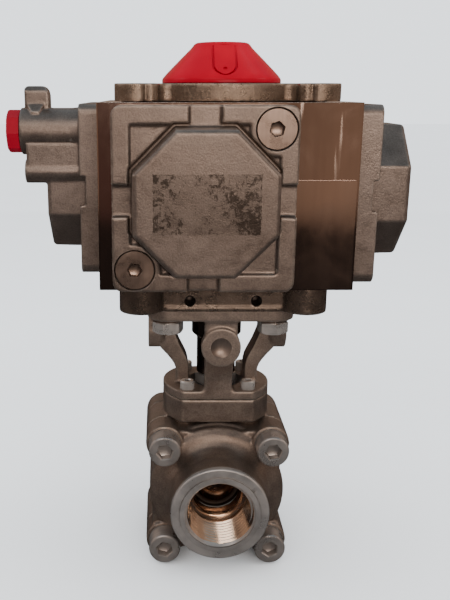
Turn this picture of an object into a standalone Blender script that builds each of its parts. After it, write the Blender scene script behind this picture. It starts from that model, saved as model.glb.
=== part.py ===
"""Pneumatic actuated ball valve: a three-piece threaded ball valve, a cast mounting
bracket and a four-piston spring-return rack and pinion actuator.

Frame: +Z runs up the stem. The origin is the point under the stem on the plane the
valve rests on. The pipe runs along Y and the front pipe end faces -Y. The rest pose is
the closed one: the pistons are in, and the ball's bore lies across the pipe.
All lengths are given in millimetres and scaled to metres when a mesh is made.
"""

import math

import bmesh
import bpy
from mathutils import Matrix

MM = 0.001

# ---------------------------------------------------------------- driving sizes (mm)
GAP = 0.3
BALL_Z = 35.2           # pipe axis above the resting plane
BALL_R = 19.0
BORE_R = 12.5
LOBE_C, LOBE_R = 26.2, 9.3   # screw lobes of the end caps, from the pipe axis
FLANGE_R = 33.7
JOINT_Y = 10.8          # half thickness of the centre section
SEAT_Y = 25.0           # face of the end caps under the screw heads
HUB_R, HUB_Y = 23.6, 48.2
THREAD_R, THREAD_DEPTH = 16.2, 22.0
MOUTH_R = 17.1
PAD_R, PAD_Y = 26.8, 20.3
PAD_Z0, PAD_Z1 = 71.1, 82.5
BASE_Z0, BASE_Z1 = 82.8, 87.2
PLATE_Z0, PLATE_Z1, PLATE_H = 126.4, 132.4, 34.3
LEG_W = 6.8
BOSS_Z, BOSS_R, BOSS_FACE = 113.7, 9.3, 34.3
BOLT_XY = 24.75         # 70 mm bolt circle
BASE_SCREW_X, BASE_SCREW_Y = 15.0, 15.2
LOW_Z0, LOW_Z1 = 132.7, 146.0
BODY_Z0, BODY_Z1, BODY_H = 146.3, 224.6, 54.7
TOP_Z0, TOP_Z1 = 224.9, 232.2
CYL_Z, OFFSET = 185.7, 10.5   # cylinder axis height and its offset from the stem axis
CYL_R = 28.0
PISTON_R, PISTON_T0, PISTON_T1 = 27.6, 22.0, 34.0
CAP_S, CAP_T0, CAP_T1 = 38.0, 55.0, 64.8
OCT_AF, OCT_T1 = 29.25, 80.7
CAVITY_R, CAVITY_T = 25.0, 77.4
CAP_SCREW = 28.7
MODULE, TEETH, ADDENDUM, DEDENDUM = 1.5, 14, 1.05, 1.45
PRESSURE = math.radians(20)
RACK_END = -21.4
SPRING_R, WIRE_R, COILS = 18.0, 2.0, 4
DOME_Z0, DOME_Z1, DOME_R0, DOME_R1 = 232.5, 250.4, 27.7, 12.5

# ---------------------------------------------------------------- materials
FINISH = {
    "cast_steel": ((0.19, 0.155, 0.125, 1), 0.42, 0.85),
    "machined_steel": ((0.42, 0.39, 0.36, 1), 0.3, 0.95),
    "cast_aluminium": ((0.30, 0.25, 0.21, 1), 0.45, 0.75),
    "polished_aluminium": ((0.50, 0.42, 0.36, 1), 0.12, 1.0),
    "bolt_steel": ((0.40, 0.37, 0.33, 1), 0.3, 0.95),
    "ball_steel": ((0.62, 0.60, 0.57, 1), 0.07, 1.0),
    "polymer": ((0.80, 0.79, 0.75, 1), 0.45, 0.0),
    "acetal": ((0.05, 0.05, 0.05, 1), 0.4, 0.0),
    "red_plastic": ((0.60, 0.002, 0.004, 1), 0.28, 0.0),
    "spring_steel": ((0.16, 0.17, 0.19, 1), 0.4, 0.9),
    "foil": ((0.60, 0.52, 0.46, 1), 0.15, 1.0),
}


def material(name):
    found = bpy.data.materials.get(name)
    if found:
        return found
    color, roughness, metallic = FINISH[name]
    made = bpy.data.materials.new(name)
    made.use_nodes = True
    shader = made.node_tree.nodes["Principled BSDF"]
    shader.inputs["Base Color"].default_value = color
    shader.inputs["Roughness"].default_value = roughness
    shader.inputs["Metallic"].default_value = metallic
    made.diffuse_color = color
    return made


DETAIL = 0.5   # share of the nominal side count that round shapes get


def sides_of(n):
    return n if n < 10 else max(8, 2 * round(n * DETAIL / 2))


# ---------------------------------------------------------------- modelling helpers
def base(bm):
    """A hidden working object that holds this bmesh, in millimetres."""
    mesh = bpy.data.meshes.new("work")
    bm.to_mesh(mesh)
    bm.free()
    obj = bpy.data.objects.new("work", mesh)
    bpy.context.scene.collection.objects.link(obj)
    return obj


def prism(outline, z0, z1, matrix=None):
    """A closed outline (counter-clockwise) extruded from z0 to z1."""
    bm = bmesh.new()
    low = [bm.verts.new((x, y, z0)) for x, y in outline]
    top = [bm.verts.new((x, y, z1)) for x, y in outline]
    n = len(outline)
    bm.faces.new(low[::-1])
    bm.faces.new(top)
    for i in range(n):
        j = (i + 1) % n
        bm.faces.new((low[i], low[j], top[j], top[i]))
    bmesh.ops.recalc_face_normals(bm, faces=bm.faces)
    if matrix:
        bm.transform(matrix)
    return base(bm)


def turned(profile, segments, matrix=None, phase=0.0):
    """A closed profile of (radius, z) points turned about Z. A radius of 0 is a pole."""
    segments = sides_of(segments)
    bm = bmesh.new()
    rings = []
    for r, z in profile:
        if r < 1e-6:
            rings.append([bm.verts.new((0, 0, z))])
        else:
            rings.append(
                [
                    bm.verts.new(
                        (
                            r * math.cos(phase + 2 * math.pi * k / segments),
                            r * math.sin(phase + 2 * math.pi * k / segments),
                            z,
                        )
                    )
                    for k in range(segments)
                ]
            )
    n = len(rings)
    for i in range(n):
        a, b = rings[i], rings[(i + 1) % n]
        if len(a) == 1 and len(b) == 1:
            continue
        for k in range(segments):
            m = (k + 1) % segments
            if len(a) == 1:
                bm.faces.new((a[0], b[m], b[k]))
            elif len(b) == 1:
                bm.faces.new((a[k], a[m], b[0]))
            else:
                bm.faces.new((a[k], a[m], b[m], b[k]))
    bmesh.ops.recalc_face_normals(bm, faces=bm.faces)
    if matrix:
        bm.transform(matrix)
    return base(bm)


def rod(r, z0, z1, segments=16, matrix=None, phase=0.0):
    return turned([(0, z0), (r, z0), (r, z1), (0, z1)], segments, matrix, phase)


def ring(inner, outer, z0, z1, segments=24, matrix=None):
    return turned(
        [(inner, z0), (outer, z0), (outer, z1), (inner, z1)], segments, matrix
    )


def box(x0, x1, y0, y1, z0, z1, matrix=None):
    return prism([(x0, y0), (x1, y0), (x1, y1), (x0, y1)], z0, z1, matrix)


def boolean(target, other, operation):
    """Applies one exact boolean and removes the second solid."""
    modifier = target.modifiers.new("op", "BOOLEAN")
    modifier.operation = operation
    modifier.solver = "EXACT"
    modifier.object = other
    bpy.context.view_layer.update()
    graph = bpy.context.evaluated_depsgraph_get()
    result = bpy.data.meshes.new_from_object(target.evaluated_get(graph))
    target.modifiers.clear()
    old = target.data
    target.data = result
    bpy.data.meshes.remove(old)
    mesh = other.data
    bpy.data.objects.remove(other)
    bpy.data.meshes.remove(mesh)
    return target


def cut(target, *others):
    for other in others:
        boolean(target, other, "DIFFERENCE")
    return target


def add(target, *others):
    for other in others:
        boolean(target, other, "UNION")
    return target


def common(target, other):
    return boolean(target, other, "INTERSECT")


def circle(r, n, cx=0.0, cy=0.0, phase=0.0):
    n = sides_of(n)
    return [
        (
            cx + r * math.cos(phase + 2 * math.pi * k / n),
            cy + r * math.sin(phase + 2 * math.pi * k / n),
        )
        for k in range(n)
    ]


def rounded(hx, hy, r, n=4, cx=0.0, cy=0.0):
    """A rectangle with half sides hx and hy and corners of radius r."""
    points = []
    for k, (sx, sy) in enumerate(((1, 1), (-1, 1), (-1, -1), (1, -1))):
        for i in range(n + 1):
            a = math.radians(90 * k + 90 * i / n)
            points.append(
                (cx + sx * (hx - r) + r * math.cos(a), cy + sy * (hy - r) + r * math.sin(a))
            )
    return points


def octagon(half, cx=0.0, cy=0.0):
    return circle(half / math.cos(math.pi / 8), 8, cx, cy, math.pi / 8)


def hexagon(af, phase=0.0):
    return circle(af / math.sqrt(3), 6, 0, 0, phase)


def at(x, y, z=0.0):
    return Matrix.Translation((x, y, z))


# Local z points out of the front face (-Y), local x to the right and local y up.
FRONT = Matrix(((1, 0, 0, 0), (0, 0, -1, 0), (0, 1, 0, 0), (0, 0, 0, 1)))
PIPE = Matrix.Translation((0, 0, BALL_Z))


def turn(k):
    return Matrix.Rotation(math.radians(90 * k), 4, "Z")


def side(k):
    """The frame of actuator face k: 0 front, 1 right, 2 rear, 3 left."""
    return turn(k) @ FRONT


def pipe_end(k):
    """Local z runs outwards along the pipe axis; k is 0 at the front and 2 at the rear."""
    return PIPE @ turn(k) @ FRONT


def finish(obj, name, finish_name, axis=(0.0, 0.0, 0.0)):
    """Names the solid, scales it to metres and puts its origin on its own axis."""
    mesh = obj.data
    mesh.transform(Matrix.Translation([-a for a in axis]))
    mesh.transform(Matrix.Scale(MM, 4))
    mesh.name = name
    obj.name = name
    obj.location = [a * MM for a in axis]
    mesh.materials.clear()
    mesh.materials.append(material(finish_name))
    mesh.shade_smooth()
    mesh.set_sharp_from_angle(angle=math.radians(35))
    return obj


def placed(source, name, matrix):
    """Another solid that shares a finished one's mesh; matrix is in millimetres."""
    obj = bpy.data.objects.new(name, source.data)
    bpy.context.scene.collection.objects.link(obj)
    moved = matrix.copy()
    moved.translation = moved.translation * MM
    obj.matrix_world = moved
    return obj


def clear_scene():
    for obj in list(bpy.data.objects):
        bpy.data.objects.remove(obj, do_unlink=True)


# ---------------------------------------------------------------- the valve
def arc(cx, cy, r, a0, a1, n):
    """Points on a circle from angle a0 to a1, in degrees."""
    return [
        (
            cx + r * math.cos(math.radians(a0 + (a1 - a0) * i / n)),
            cy + r * math.sin(math.radians(a0 + (a1 - a0) * i / n)),
        )
        for i in range(n + 1)
    ]


def four_fold(quarter):
    """The outline that repeats these points at every quarter turn."""
    points = []
    for k in range(4):
        c, s = ((1, 0), (0, 1), (-1, 0), (0, -1))[k]
        points += [(c * x - s * y, s * x + c * y) for x, y in quarter]
    return points


def lobed_outline():
    """A disc with four screw lobes, waisted between them and flat where it rests."""
    quarter = arc(0, 0, FLANGE_R, -21, 21, 4)
    quarter += arc(LOBE_C, LOBE_C, LOBE_R, 45 - 93, 45 + 93, 6)
    return [(x, max(y, -BALL_Z)) for x, y in four_fold(quarter)]


def section(t0, t1, matrix):
    """The lobed slab that the end caps and the centre section share."""
    return prism(lobed_outline(), t0, t1, matrix)


def screw_holes(solid, t0, t1, matrix, r=5.7):
    for sx in (-1, 1):
        for sy in (-1, 1):
            cut(solid, rod(r, t0, t1, 12, matrix @ at(sx * LOBE_C, sy * LOBE_C)))
    return solid


def end_cap(k, name):
    frame = pipe_end(k)
    solid = section(JOINT_Y + GAP, SEAT_Y, frame)
    hub = turned(
        [
            (0, 20.0),
            (27.0, 20.0),
            (27.0, 26.0),
            (25.0, 27.5),
            (HUB_R, 30.0),
            (HUB_R, HUB_Y - 1.0),
            (HUB_R - 1.0, HUB_Y),
            (0, HUB_Y),
        ],
        36,
        frame,
    )
    add(solid, hub)
    cut(
        solid,
        turned(
            [
                (0, 5.0),
                (18.1, 5.0),
                (18.1, 18.3),
                (13.2, 18.3),
                (13.2, 22.0),
                (14.4, 22.0),
                (14.4, 25.5),
                (THREAD_R, 26.2),
                (THREAD_R, HUB_Y - 2.4),
                (MOUTH_R, HUB_Y - 0.6),
                (MOUTH_R, HUB_Y + 2),
                (0, HUB_Y + 2),
            ],
            32,
            frame,
        ),
    )
    screw_holes(solid, 5, 27, frame)
    return finish(solid, name, "cast_steel")


def pad_outline(r=PAD_R, flat=PAD_Y):
    """A disc with flats at the front and at the rear."""
    a = math.asin(flat / r)
    points = []
    for start in (-a, math.pi - a):
        for i in range(9):
            b = start + 2 * a * i / 8
            points.append((r * math.cos(b), r * math.sin(b)))
    return points


def valve_body():
    frame = pipe_end(0)
    solid = section(-JOINT_Y, JOINT_Y, frame)
    add(
        solid,
        box(-10, 10, -JOINT_Y, JOINT_Y, 0.0, 12.0),
        prism(pad_outline(), PAD_Z0, PAD_Z1),
        box(-21, 21, -JOINT_Y, JOINT_Y, 50, 72.5),
    )
    cut(
        solid,
        rod(20.0, -20, 20, 32, frame),
        turned(
            [
                (0, 40),
                (8.5, 40),
                (8.5, 58.6),
                (6.4, 58.6),
                (6.4, 70.9),
                (9.5, 70.9),
                (9.5, 90),
                (0, 90),
            ],
            24,
        ),
    )
    screw_holes(solid, -30, 30, frame)
    for sx in (-1, 1):
        for sy in (-1, 1):
            cut(
                solid,
                rod(2.35, 72.0, 90, 10, at(sx * BASE_SCREW_X, sy * BASE_SCREW_Y)),
            )
    return finish(solid, "valve_body", "cast_steel")


def ball():
    n = 14
    profile = [
        (BALL_R * math.sin(math.pi * i / n), -BALL_R * math.cos(math.pi * i / n))
        for i in range(n + 1)
    ]
    solid = turned(profile, 32, PIPE)
    cut(
        solid,
        rod(BORE_R, -30, 30, 28, PIPE @ turn(1) @ FRONT),
        box(-3.1, 3.1, -20, 20, BALL_Z + 14.4, BALL_Z + 25),
    )
    return finish(solid, "ball", "ball_steel", (0, 0, BALL_Z))


def seat(k, name):
    solid = turned(
        [(13.0, 18.0), (17.8, 18.0), (17.8, 11.4), (15.7, 11.4), (13.0, 14.9)],
        32,
        pipe_end(k),
    )
    return finish(solid, name, "polymer")


def stem():
    solid = turned(
        [
            (0, 54.9),
            (8.0, 54.9),
            (8.0, 58.0),
            (6.0, 58.0),
            (6.0, 102.5),
            (0, 102.5),
        ],
        24,
    )
    add(solid, box(-2.7, 2.7, -6.3, 6.3, BALL_Z + 14.8, 56.0))
    cut(
        solid,
        box(4.0, 9, -9, 9, 91.0, 110),
        box(-9, -4.0, -9, 9, 91.0, 110),
    )
    return finish(solid, "stem", "machined_steel")


def stem_stack():
    finish(ring(6.4, 9.2, 71.2, 77.0), "stem_packing", "polymer")
    finish(
        turned([(6.4, 77.3), (9.2, 77.3), (9.2, 83.0), (6.4, 83.0)], 24),
        "gland_ring",
        "machined_steel",
    )
    finish(
        turned([(6.6, 84.1), (10.4, 83.3), (10.4, 84.5), (6.6, 85.3)], 24),
        "disc_spring",
        "spring_steel",
    )
    nut = prism(circle(10.4, 6), 85.6, 90.6)
    cut(nut, rod(6.4, 80, 95, 20))
    finish(nut, "gland_nut", "machined_steel")


def body_screws():
    frame = pipe_end(0)
    screw = turned(
        [
            (0, -24.4),
            (4.6, -24.4),
            (5.0, -23.8),
            (5.0, 25.3),
            (7.75, 25.3),
            (7.75, 34.4),
            (7.2, 35.1),
            (0, 35.1),
        ],
        20,
        frame,
    )
    cut(screw, prism(hexagon(8.0), 30.0, 40, frame))
    first = finish(screw, "body_screw_upper_left", "bolt_steel")
    first.location = (-LOBE_C * MM, 0, LOBE_C * MM)
    for name, sx, sz in (
        ("body_screw_upper_right", 1, 1),
        ("body_screw_lower_left", -1, -1),
        ("body_screw_lower_right", 1, -1),
    ):
        placed(first, name, Matrix.Translation((sx * LOBE_C, 0, sz * LOBE_C)))


# ---------------------------------------------------------------- the bracket
LEG_OUTER = [
    (20.3, 86.0),
    (20.4, 95.2),
    (22.0, 97.6),
    (25.1, 101.8),
    (29.2, 106.6),
    (29.6, 122.0),
    (31.5, 127.0),
]
LEG_INNER = [
    (24.4, 127.0),
    (22.9, 119.5),
    (20.4, 112.0),
    (17.3, 104.6),
    (14.9, 100.9),
    (14.1, 97.0),
    (13.8, 86.0),
]


def leg(k):
    # Local x is the distance from the stem axis, local y is up, local z is tangential.
    frame = turn(k) @ Matrix(((0, 0, 1, 0), (-1, 0, 0, 0), (0, 1, 0, 0), (0, 0, 0, 1)))
    solid = prism(LEG_OUTER + LEG_INNER, -LEG_W, LEG_W, frame)
    front = side(k)
    add(
        solid,
        rod(BOSS_R, 27.5, BOSS_FACE, 24, front @ at(0, BOSS_Z)),
        box(-7.8, 7.8, BOSS_Z, 127.0, 28.5, 33.4, front),
    )
    cut(
        solid,
        turned(
            [(0, BOSS_FACE - 2.2), (4.7, BOSS_FACE), (4.7, 40), (0, 40)],
            16,
            front @ at(0, BOSS_Z),
        ),
    )
    return solid


def bracket():
    solid = prism(pad_outline(), BASE_Z0, BASE_Z1)
    for k in range(4):
        add(solid, leg(k))
    plate = prism(rounded(PLATE_H, PLATE_H, 9.5, 3), PLATE_Z0, PLATE_Z1)
    add(solid, plate)
    cut(
        solid,
        rod(13.4, 80, 90, 32),
        rod(20.0, 120, 140, 32),
    )
    for sx in (-1, 1):
        for sy in (-1, 1):
            cut(
                solid,
                rod(2.35, 80, 90, 10, at(sx * BASE_SCREW_X, sy * BASE_SCREW_Y)),
                rod(4.6, 120, 140, 12, at(sx * BOLT_XY, sy * BOLT_XY)),
            )
    return finish(solid, "mounting_bracket", "cast_steel")


def bracket_screws():
    corners = (
        ("front_left", -1, -1),
        ("front_right", 1, -1),
        ("rear_right", 1, 1),
        ("rear_left", -1, 1),
    )
    small = turned(
        [
            (0, 73.0),
            (2.0, 73.0),
            (2.0, 87.5),
            (3.5, 87.5),
            (3.5, 91.2),
            (3.2, 91.5),
            (0, 91.5),
        ],
        14,
    )
    cut(small, prism(hexagon(3.0), 89.5, 95))
    large = turned(
        [(0, 124.0), (7.4, 124.0), (7.4, 126.1), (4.0, 126.1), (4.0, 144.0), (0, 144.0)],
        18,
    )
    add(large, prism(hexagon(13.0, math.radians(12)), 119.0, 124.9))
    first = finish(small, "base_screw_front_left", "bolt_steel")
    first.location = (-BASE_SCREW_X * MM, -BASE_SCREW_Y * MM, 0)
    other = finish(large, "bracket_bolt_front_left", "bolt_steel")
    other.location = (-BOLT_XY * MM, -BOLT_XY * MM, 0)
    for name, sx, sy in corners[1:]:
        placed(
            first, f"base_screw_{name}", at(sx * BASE_SCREW_X, sy * BASE_SCREW_Y)
        )
        placed(other, f"bracket_bolt_{name}", at(sx * BOLT_XY, sy * BOLT_XY))


# ---------------------------------------------------------------- the actuator
def covers():
    low = prism(four_fold(arc(37.0, 37.0, 10.0, -72.5, 162.5, 8)), LOW_Z0, LOW_Z1)
    cut(low, rod(13.4, 120, 150, 32))
    for sx in (-1, 1):
        for sy in (-1, 1):
            cut(low, rod(4.6, 120, 144.8, 12, at(sx * BOLT_XY, sy * BOLT_XY)))
        cut(low, rod(2.2, 31.0, 45, 12, FRONT @ at(sx * 15.0, 137.8)))
    finish(low, "bottom_cover", "cast_aluminium")

    swell = [(40.4, 26.2), (41.6, 28.8), (44.6, 29.6), (46.5, 32.2), (45.6, 34.8)]
    quarter = arc(0, 0, 47.0, -30.5, 30.5, 5) + swell
    quarter += arc(38.4, 38.4, 9.6, -15, 105, 6) + [(y, x) for x, y in swell[::-1]]
    top = prism(four_fold(quarter), TOP_Z0, TOP_Z1)
    cut(top, rod(9.9, 200, 250, 24))
    for sx in (-1, 1):
        for sy in (-1, 1):
            cut(
                top,
                turned(
                    [(0, 220), (2.9, 220), (2.9, 228.6), (5.6, 231.6), (5.6, 235), (0, 235)],
                    12,
                    at(sx * 39.5, sy * 39.5),
                ),
            )
    finish(top, "top_cover", "cast_aluminium")

    screw = turned(
        [(0, 219.8), (2.5, 219.8), (2.5, 228.9), (5.1, 231.6), (5.1, 232.0), (0, 232.0)],
        12,
    )
    cut(screw, prism(hexagon(3.0), 229.8, 240))
    first = finish(screw, "top_screw_front_left", "bolt_steel")
    first.location = (-39.5 * MM, -39.5 * MM, 0)
    for name, sx, sy in (
        ("front_right", 1, -1),
        ("rear_right", 1, 1),
        ("rear_left", -1, 1),
    ):
        placed(first, f"top_screw_{name}", at(sx * 39.5, sy * 39.5))


# The diagonal on which each cap carries its two screws: the port cap has the other one.
DIAGONAL = {0: ((1, 1), (-1, -1)), 1: ((1, 1), (-1, -1)), 2: ((1, 1), (-1, -1)), 3: ((-1, 1), (1, -1))}
SIDE_NAMES = {0: "front", 1: "right", 2: "rear", 3: "left"}


def actuator_body():
    solid = prism(rounded(BODY_H, BODY_H, 1.0, 1), BODY_Z0, BODY_Z1)
    cut(
        solid,
        box(-21.9, 21.9, -21.9, 21.9, CYL_Z - 22.3, CYL_Z + 22.3),
        rod(13.4, 140, 170, 32),
        rod(12.0, 200, 230, 28),
    )
    for k in range(4):
        frame = side(k)
        cut(solid, rod(CYL_R, 20.4, 60, 36, frame @ at(-OFFSET, CYL_Z)))
        for sx, sy in DIAGONAL[k]:
            cut(
                solid,
                rod(
                    4.5,
                    38.5,
                    60,
                    12,
                    frame @ at(-OFFSET + sx * CAP_SCREW, CYL_Z + sy * CAP_SCREW),
                ),
            )
    for sx in (-1, 1):
        for sy in (-1, 1):
            cut(solid, rod(2.85, 219.4, 230, 10, at(sx * 39.5, sy * 39.5)))
    return finish(solid, "actuator_body", "polished_aluminium")


def cap_blank(k):
    frame = side(k) @ at(-OFFSET, CYL_Z)
    solid = prism(rounded(CAP_S, CAP_S, 4.0, 3), CAP_T0, CAP_T1, frame)
    # Radial grooves, one in the middle of each side, and the channel round the boss.
    for q in range(4):
        spin = Matrix.Rotation(math.radians(90 * q), 4, "Z")
        cut(
            solid,
            box(-6.5, 6.5, OCT_AF - 3, 45, CAP_T1 - 2.6, CAP_T1 + 5, frame @ spin),
        )
    channel = prism(octagon(OCT_AF + 1.6), CAP_T1 - 1.6, CAP_T1 + 5, frame)
    cut(solid, channel)
    boss = prism(octagon(OCT_AF), CAP_T0 + 2, OCT_T1 - 1.4, frame)
    add(solid, boss)
    bm = bmesh.new()
    low = [bm.verts.new((x, y, OCT_T1 - 1.6)) for x, y in octagon(OCT_AF)]
    top = [bm.verts.new((x, y, OCT_T1)) for x, y in octagon(OCT_AF - 1.5)]
    bm.faces.new(low[::-1])
    bm.faces.new(top)
    for i in range(8):
        j = (i + 1) % 8
        bm.faces.new((low[i], low[j], top[j], top[i]))
    bmesh.ops.recalc_face_normals(bm, faces=bm.faces)
    bm.transform(frame)
    add(solid, base(bm))
    cut(solid, rod(CAVITY_R, 50, CAVITY_T, 32, frame))
    for sx, sy in DIAGONAL[k]:
        cut(
            solid,
            turned(
                [
                    (0, 50),
                    (4.4, 50),
                    (4.4, 59.4),
                    (8.6, 63.6),
                    (8.6, 68),
                    (0, 68),
                ],
                16,
                frame @ at(sx * CAP_SCREW, sy * CAP_SCREW),
            ),
        )
    return solid


PORT_Y, PORT_Z, PORT_R, PORT_T = 10.0, 211.2, 10.6, 92.3
SMALL_Y, SMALL_Z, SMALL_R, SMALL_T = 15.0, 193.5, 5.4, 90.4
PLUG_PHASE = math.radians(-4)


def caps():
    for k, name in ((0, "front_cap"), (1, "right_cap"), (2, "rear_cap")):
        finish(cap_blank(k), name, "cast_aluminium")
    solid = cap_blank(3)
    frame = side(3)
    add(
        solid,
        rod(PORT_R, 60, PORT_T, 24, frame @ at(PORT_Y, PORT_Z)),
        rod(SMALL_R, 60, SMALL_T, 16, frame @ at(SMALL_Y, SMALL_Z)),
        box(6.0, 20.0, 194.0, 206.0, 60, 90.0, frame),
        prism(
            [(78.9, 219.0), (90.2, 219.0), (90.2, 230.3), (89.0, 231.4), (81.1, 231.4), (78.9, 229.3)],
            -14.0,
            -6.0,
            # Local x runs out to the left, local y up and local z backwards.
            Matrix(((-1, 0, 0, 0), (0, 0, 1, 0), (0, 1, 0, 0), (0, 0, 0, 1))),
        ),
    )
    cut(
        solid,
        rod(6.5, 66.5, 100, 20, frame @ at(PORT_Y, PORT_Z)),
        rod(CAVITY_R, 50, CAVITY_T, 32, frame @ at(-OFFSET, CYL_Z)),
    )
    finish(solid, "left_port_cap", "cast_aluminium")

    plug = turned(
        [
            (0, 78.0),
            (6.0, 78.0),
            (6.0, PORT_T + GAP),
            (9.7, PORT_T + GAP),
            (9.7, 97.6),
            (9.3, 98.3),
            (0, 98.3),
        ],
        8,
        frame @ at(PORT_Y, PORT_Z),
        PLUG_PHASE,
    )
    finish(plug, "port_plug", "red_plastic")

    screw = turned(
        [
            (0, 40.0),
            (4.0, 40.0),
            (4.0, 59.9),
            (8.1, 64.0),
            (8.1, 64.5),
            (0, 64.5),
        ],
        16,
        FRONT,
    )
    cut(screw, prism(hexagon(5.0), 61.0, 70, FRONT))
    first = finish(screw, "cap_screw_front_upper", "bolt_steel")
    for k in range(4):
        for (sx, sy), word in zip(DIAGONAL[k], ("upper", "lower")):
            place = turn(k) @ Matrix.Translation(
                (-OFFSET + sx * CAP_SCREW, 0, CYL_Z + sy * CAP_SCREW)
            )
            name = f"cap_screw_{SIDE_NAMES[k]}_{word}"
            if k == 0 and word == "upper":
                moved = place.copy()
                moved.translation = moved.translation * MM
                first.matrix_world = moved
            else:
                placed(first, name, place)


def involute_tooth(n=2):
    """One side of a tooth as (radius, half angle) pairs, root to tip."""
    pitch_r = MODULE * TEETH / 2
    base_r = pitch_r * math.cos(PRESSURE)
    tip_r = pitch_r + ADDENDUM
    root_r = pitch_r - DEDENDUM
    inv = math.tan(PRESSURE) - PRESSURE
    half_pitch = math.pi / (2 * TEETH) - 0.14 / (2 * pitch_r)
    points = [(root_r, half_pitch + inv + 0.02)]
    for i in range(n + 1):
        r = base_r + (tip_r - base_r) * i / n
        a = math.acos(min(1.0, base_r / r))
        points.append((r, half_pitch + inv - (math.tan(a) - a)))
    return points


def pinion():
    flank = involute_tooth()
    outline = []
    for t in range(TEETH):
        middle = 2 * math.pi * t / TEETH
        for r, a in flank:
            outline.append((r * math.cos(middle - a), r * math.sin(middle - a)))
        for r, a in flank[::-1]:
            outline.append((r * math.cos(middle + a), r * math.sin(middle + a)))
    solid = prism(outline, 166.0, 205.2)
    add(
        solid,
        turned([(0, 133.0), (11.0, 133.0), (11.0, 164.5), (8.6, 167.0), (0, 167.0)], 28),
        turned([(0, 204.0), (8.6, 204.0), (9.5, 207.0), (9.5, 236.0), (0, 236.0)], 28),
        box(-5.0, 5.0, -5.0, 5.0, 235.0, 241.5),
    )
    cut(
        solid,
        box(-5.8, 5.8, -5.8, 5.8, 120, 151.0),
        rod(1.7, 228, 250, 10),
    )
    return finish(solid, "pinion", "machined_steel")


def bushings():
    finish(ring(11.4, 13.1, 133.0, 145.0, 28), "lower_bushing", "acetal")
    finish(ring(9.9, 11.7, 213.9, 224.3, 28), "upper_bushing", "acetal")


def rack_outline(shift):
    """The rack in its own plane: local x towards the pinion, local z outwards."""
    pitch = math.pi * MODULE
    half = pitch / 4 - 0.07
    tan = math.tan(PRESSURE)
    root, tip = -OFFSET - DEDENDUM, -OFFSET + ADDENDUM
    low, high = RACK_END, PISTON_T0 + 1.0
    teeth = []
    n = -6
    while n < 7:
        c = (n + shift) * pitch
        n += 1
        if c - 2.0 < low or c + 2.0 > PISTON_T0 - 0.5:
            continue
        teeth.append(c)
    points = [(-19.0, low), (root, low)]
    for c in teeth:
        points += [
            (root, c - half - DEDENDUM * tan),
            (tip, c - half + ADDENDUM * tan),
            (tip, c + half - ADDENDUM * tan),
            (root, c + half + DEDENDUM * tan),
        ]
    points += [(root, high), (-19.0, high)]
    return points


def pistons():
    for k in range(4):
        frame = side(k)
        crown = turned(
            [
                (0, PISTON_T0),
                (PISTON_R, PISTON_T0),
                (PISTON_R, 26.0),
                (25.2, 26.0),
                (25.2, 29.4),
                (PISTON_R, 29.4),
                (PISTON_R, PISTON_T1),
                (14.0, PISTON_T1),
                (14.0, PISTON_T1 - 3.0),
                (0, PISTON_T1 - 3.0),
            ],
            36,
            frame @ at(-OFFSET, CYL_Z),
        )
        # The rack's plane (x, out) is extruded along the local vertical.
        y0, y1 = (CYL_Z + 1.2, CYL_Z + 18.0) if k % 2 == 0 else (CYL_Z - 18.0, CYL_Z - 1.2)
        plane = frame @ Matrix(((1, 0, 0, 0), (0, 0, 1, 0), (0, 1, 0, 0), (0, 0, 0, 1)))
        rack = prism(rack_outline(0.5 if k % 2 == 0 else 0.0), y0, y1, plane)
        bm = bmesh.new()
        bm.from_mesh(rack.data)
        bmesh.ops.recalc_face_normals(bm, faces=bm.faces)
        bm.to_mesh(rack.data)
        bm.free()
        add(crown, rack)
        finish(crown, f"{SIDE_NAMES[k]}_piston", "machined_steel")


def springs():
    """Open coil springs between each piston crown and the floor of its cap."""
    low, high = PISTON_T1 + GAP + WIRE_R, CAVITY_T - GAP - WIRE_R
    per_turn, sides = 8, 4
    total = COILS * per_turn
    for k in range(4):
        frame = side(k) @ at(-OFFSET, CYL_Z)
        bm = bmesh.new()
        rings = []
        for i in range(total + 1):
            a = 2 * math.pi * i / per_turn
            z = low + (high - low) * i / total
            ring_points = []
            for j in range(sides):
                b = 2 * math.pi * j / sides
                r = SPRING_R + WIRE_R * math.cos(b)
                ring_points.append(
                    bm.verts.new(
                        (r * math.cos(a), r * math.sin(a), z + WIRE_R * math.sin(b))
                    )
                )
            rings.append(ring_points)
        for a_ring, b_ring in zip(rings, rings[1:]):
            for j in range(sides):
                m = (j + 1) % sides
                bm.faces.new((a_ring[j], a_ring[m], b_ring[m], b_ring[j]))
        bm.faces.new(rings[0][::-1])
        bm.faces.new(rings[-1])
        bmesh.ops.recalc_face_normals(bm, faces=bm.faces)
        bm.transform(frame)
        finish(base(bm), f"{SIDE_NAMES[k]}_spring", "spring_steel")


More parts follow.
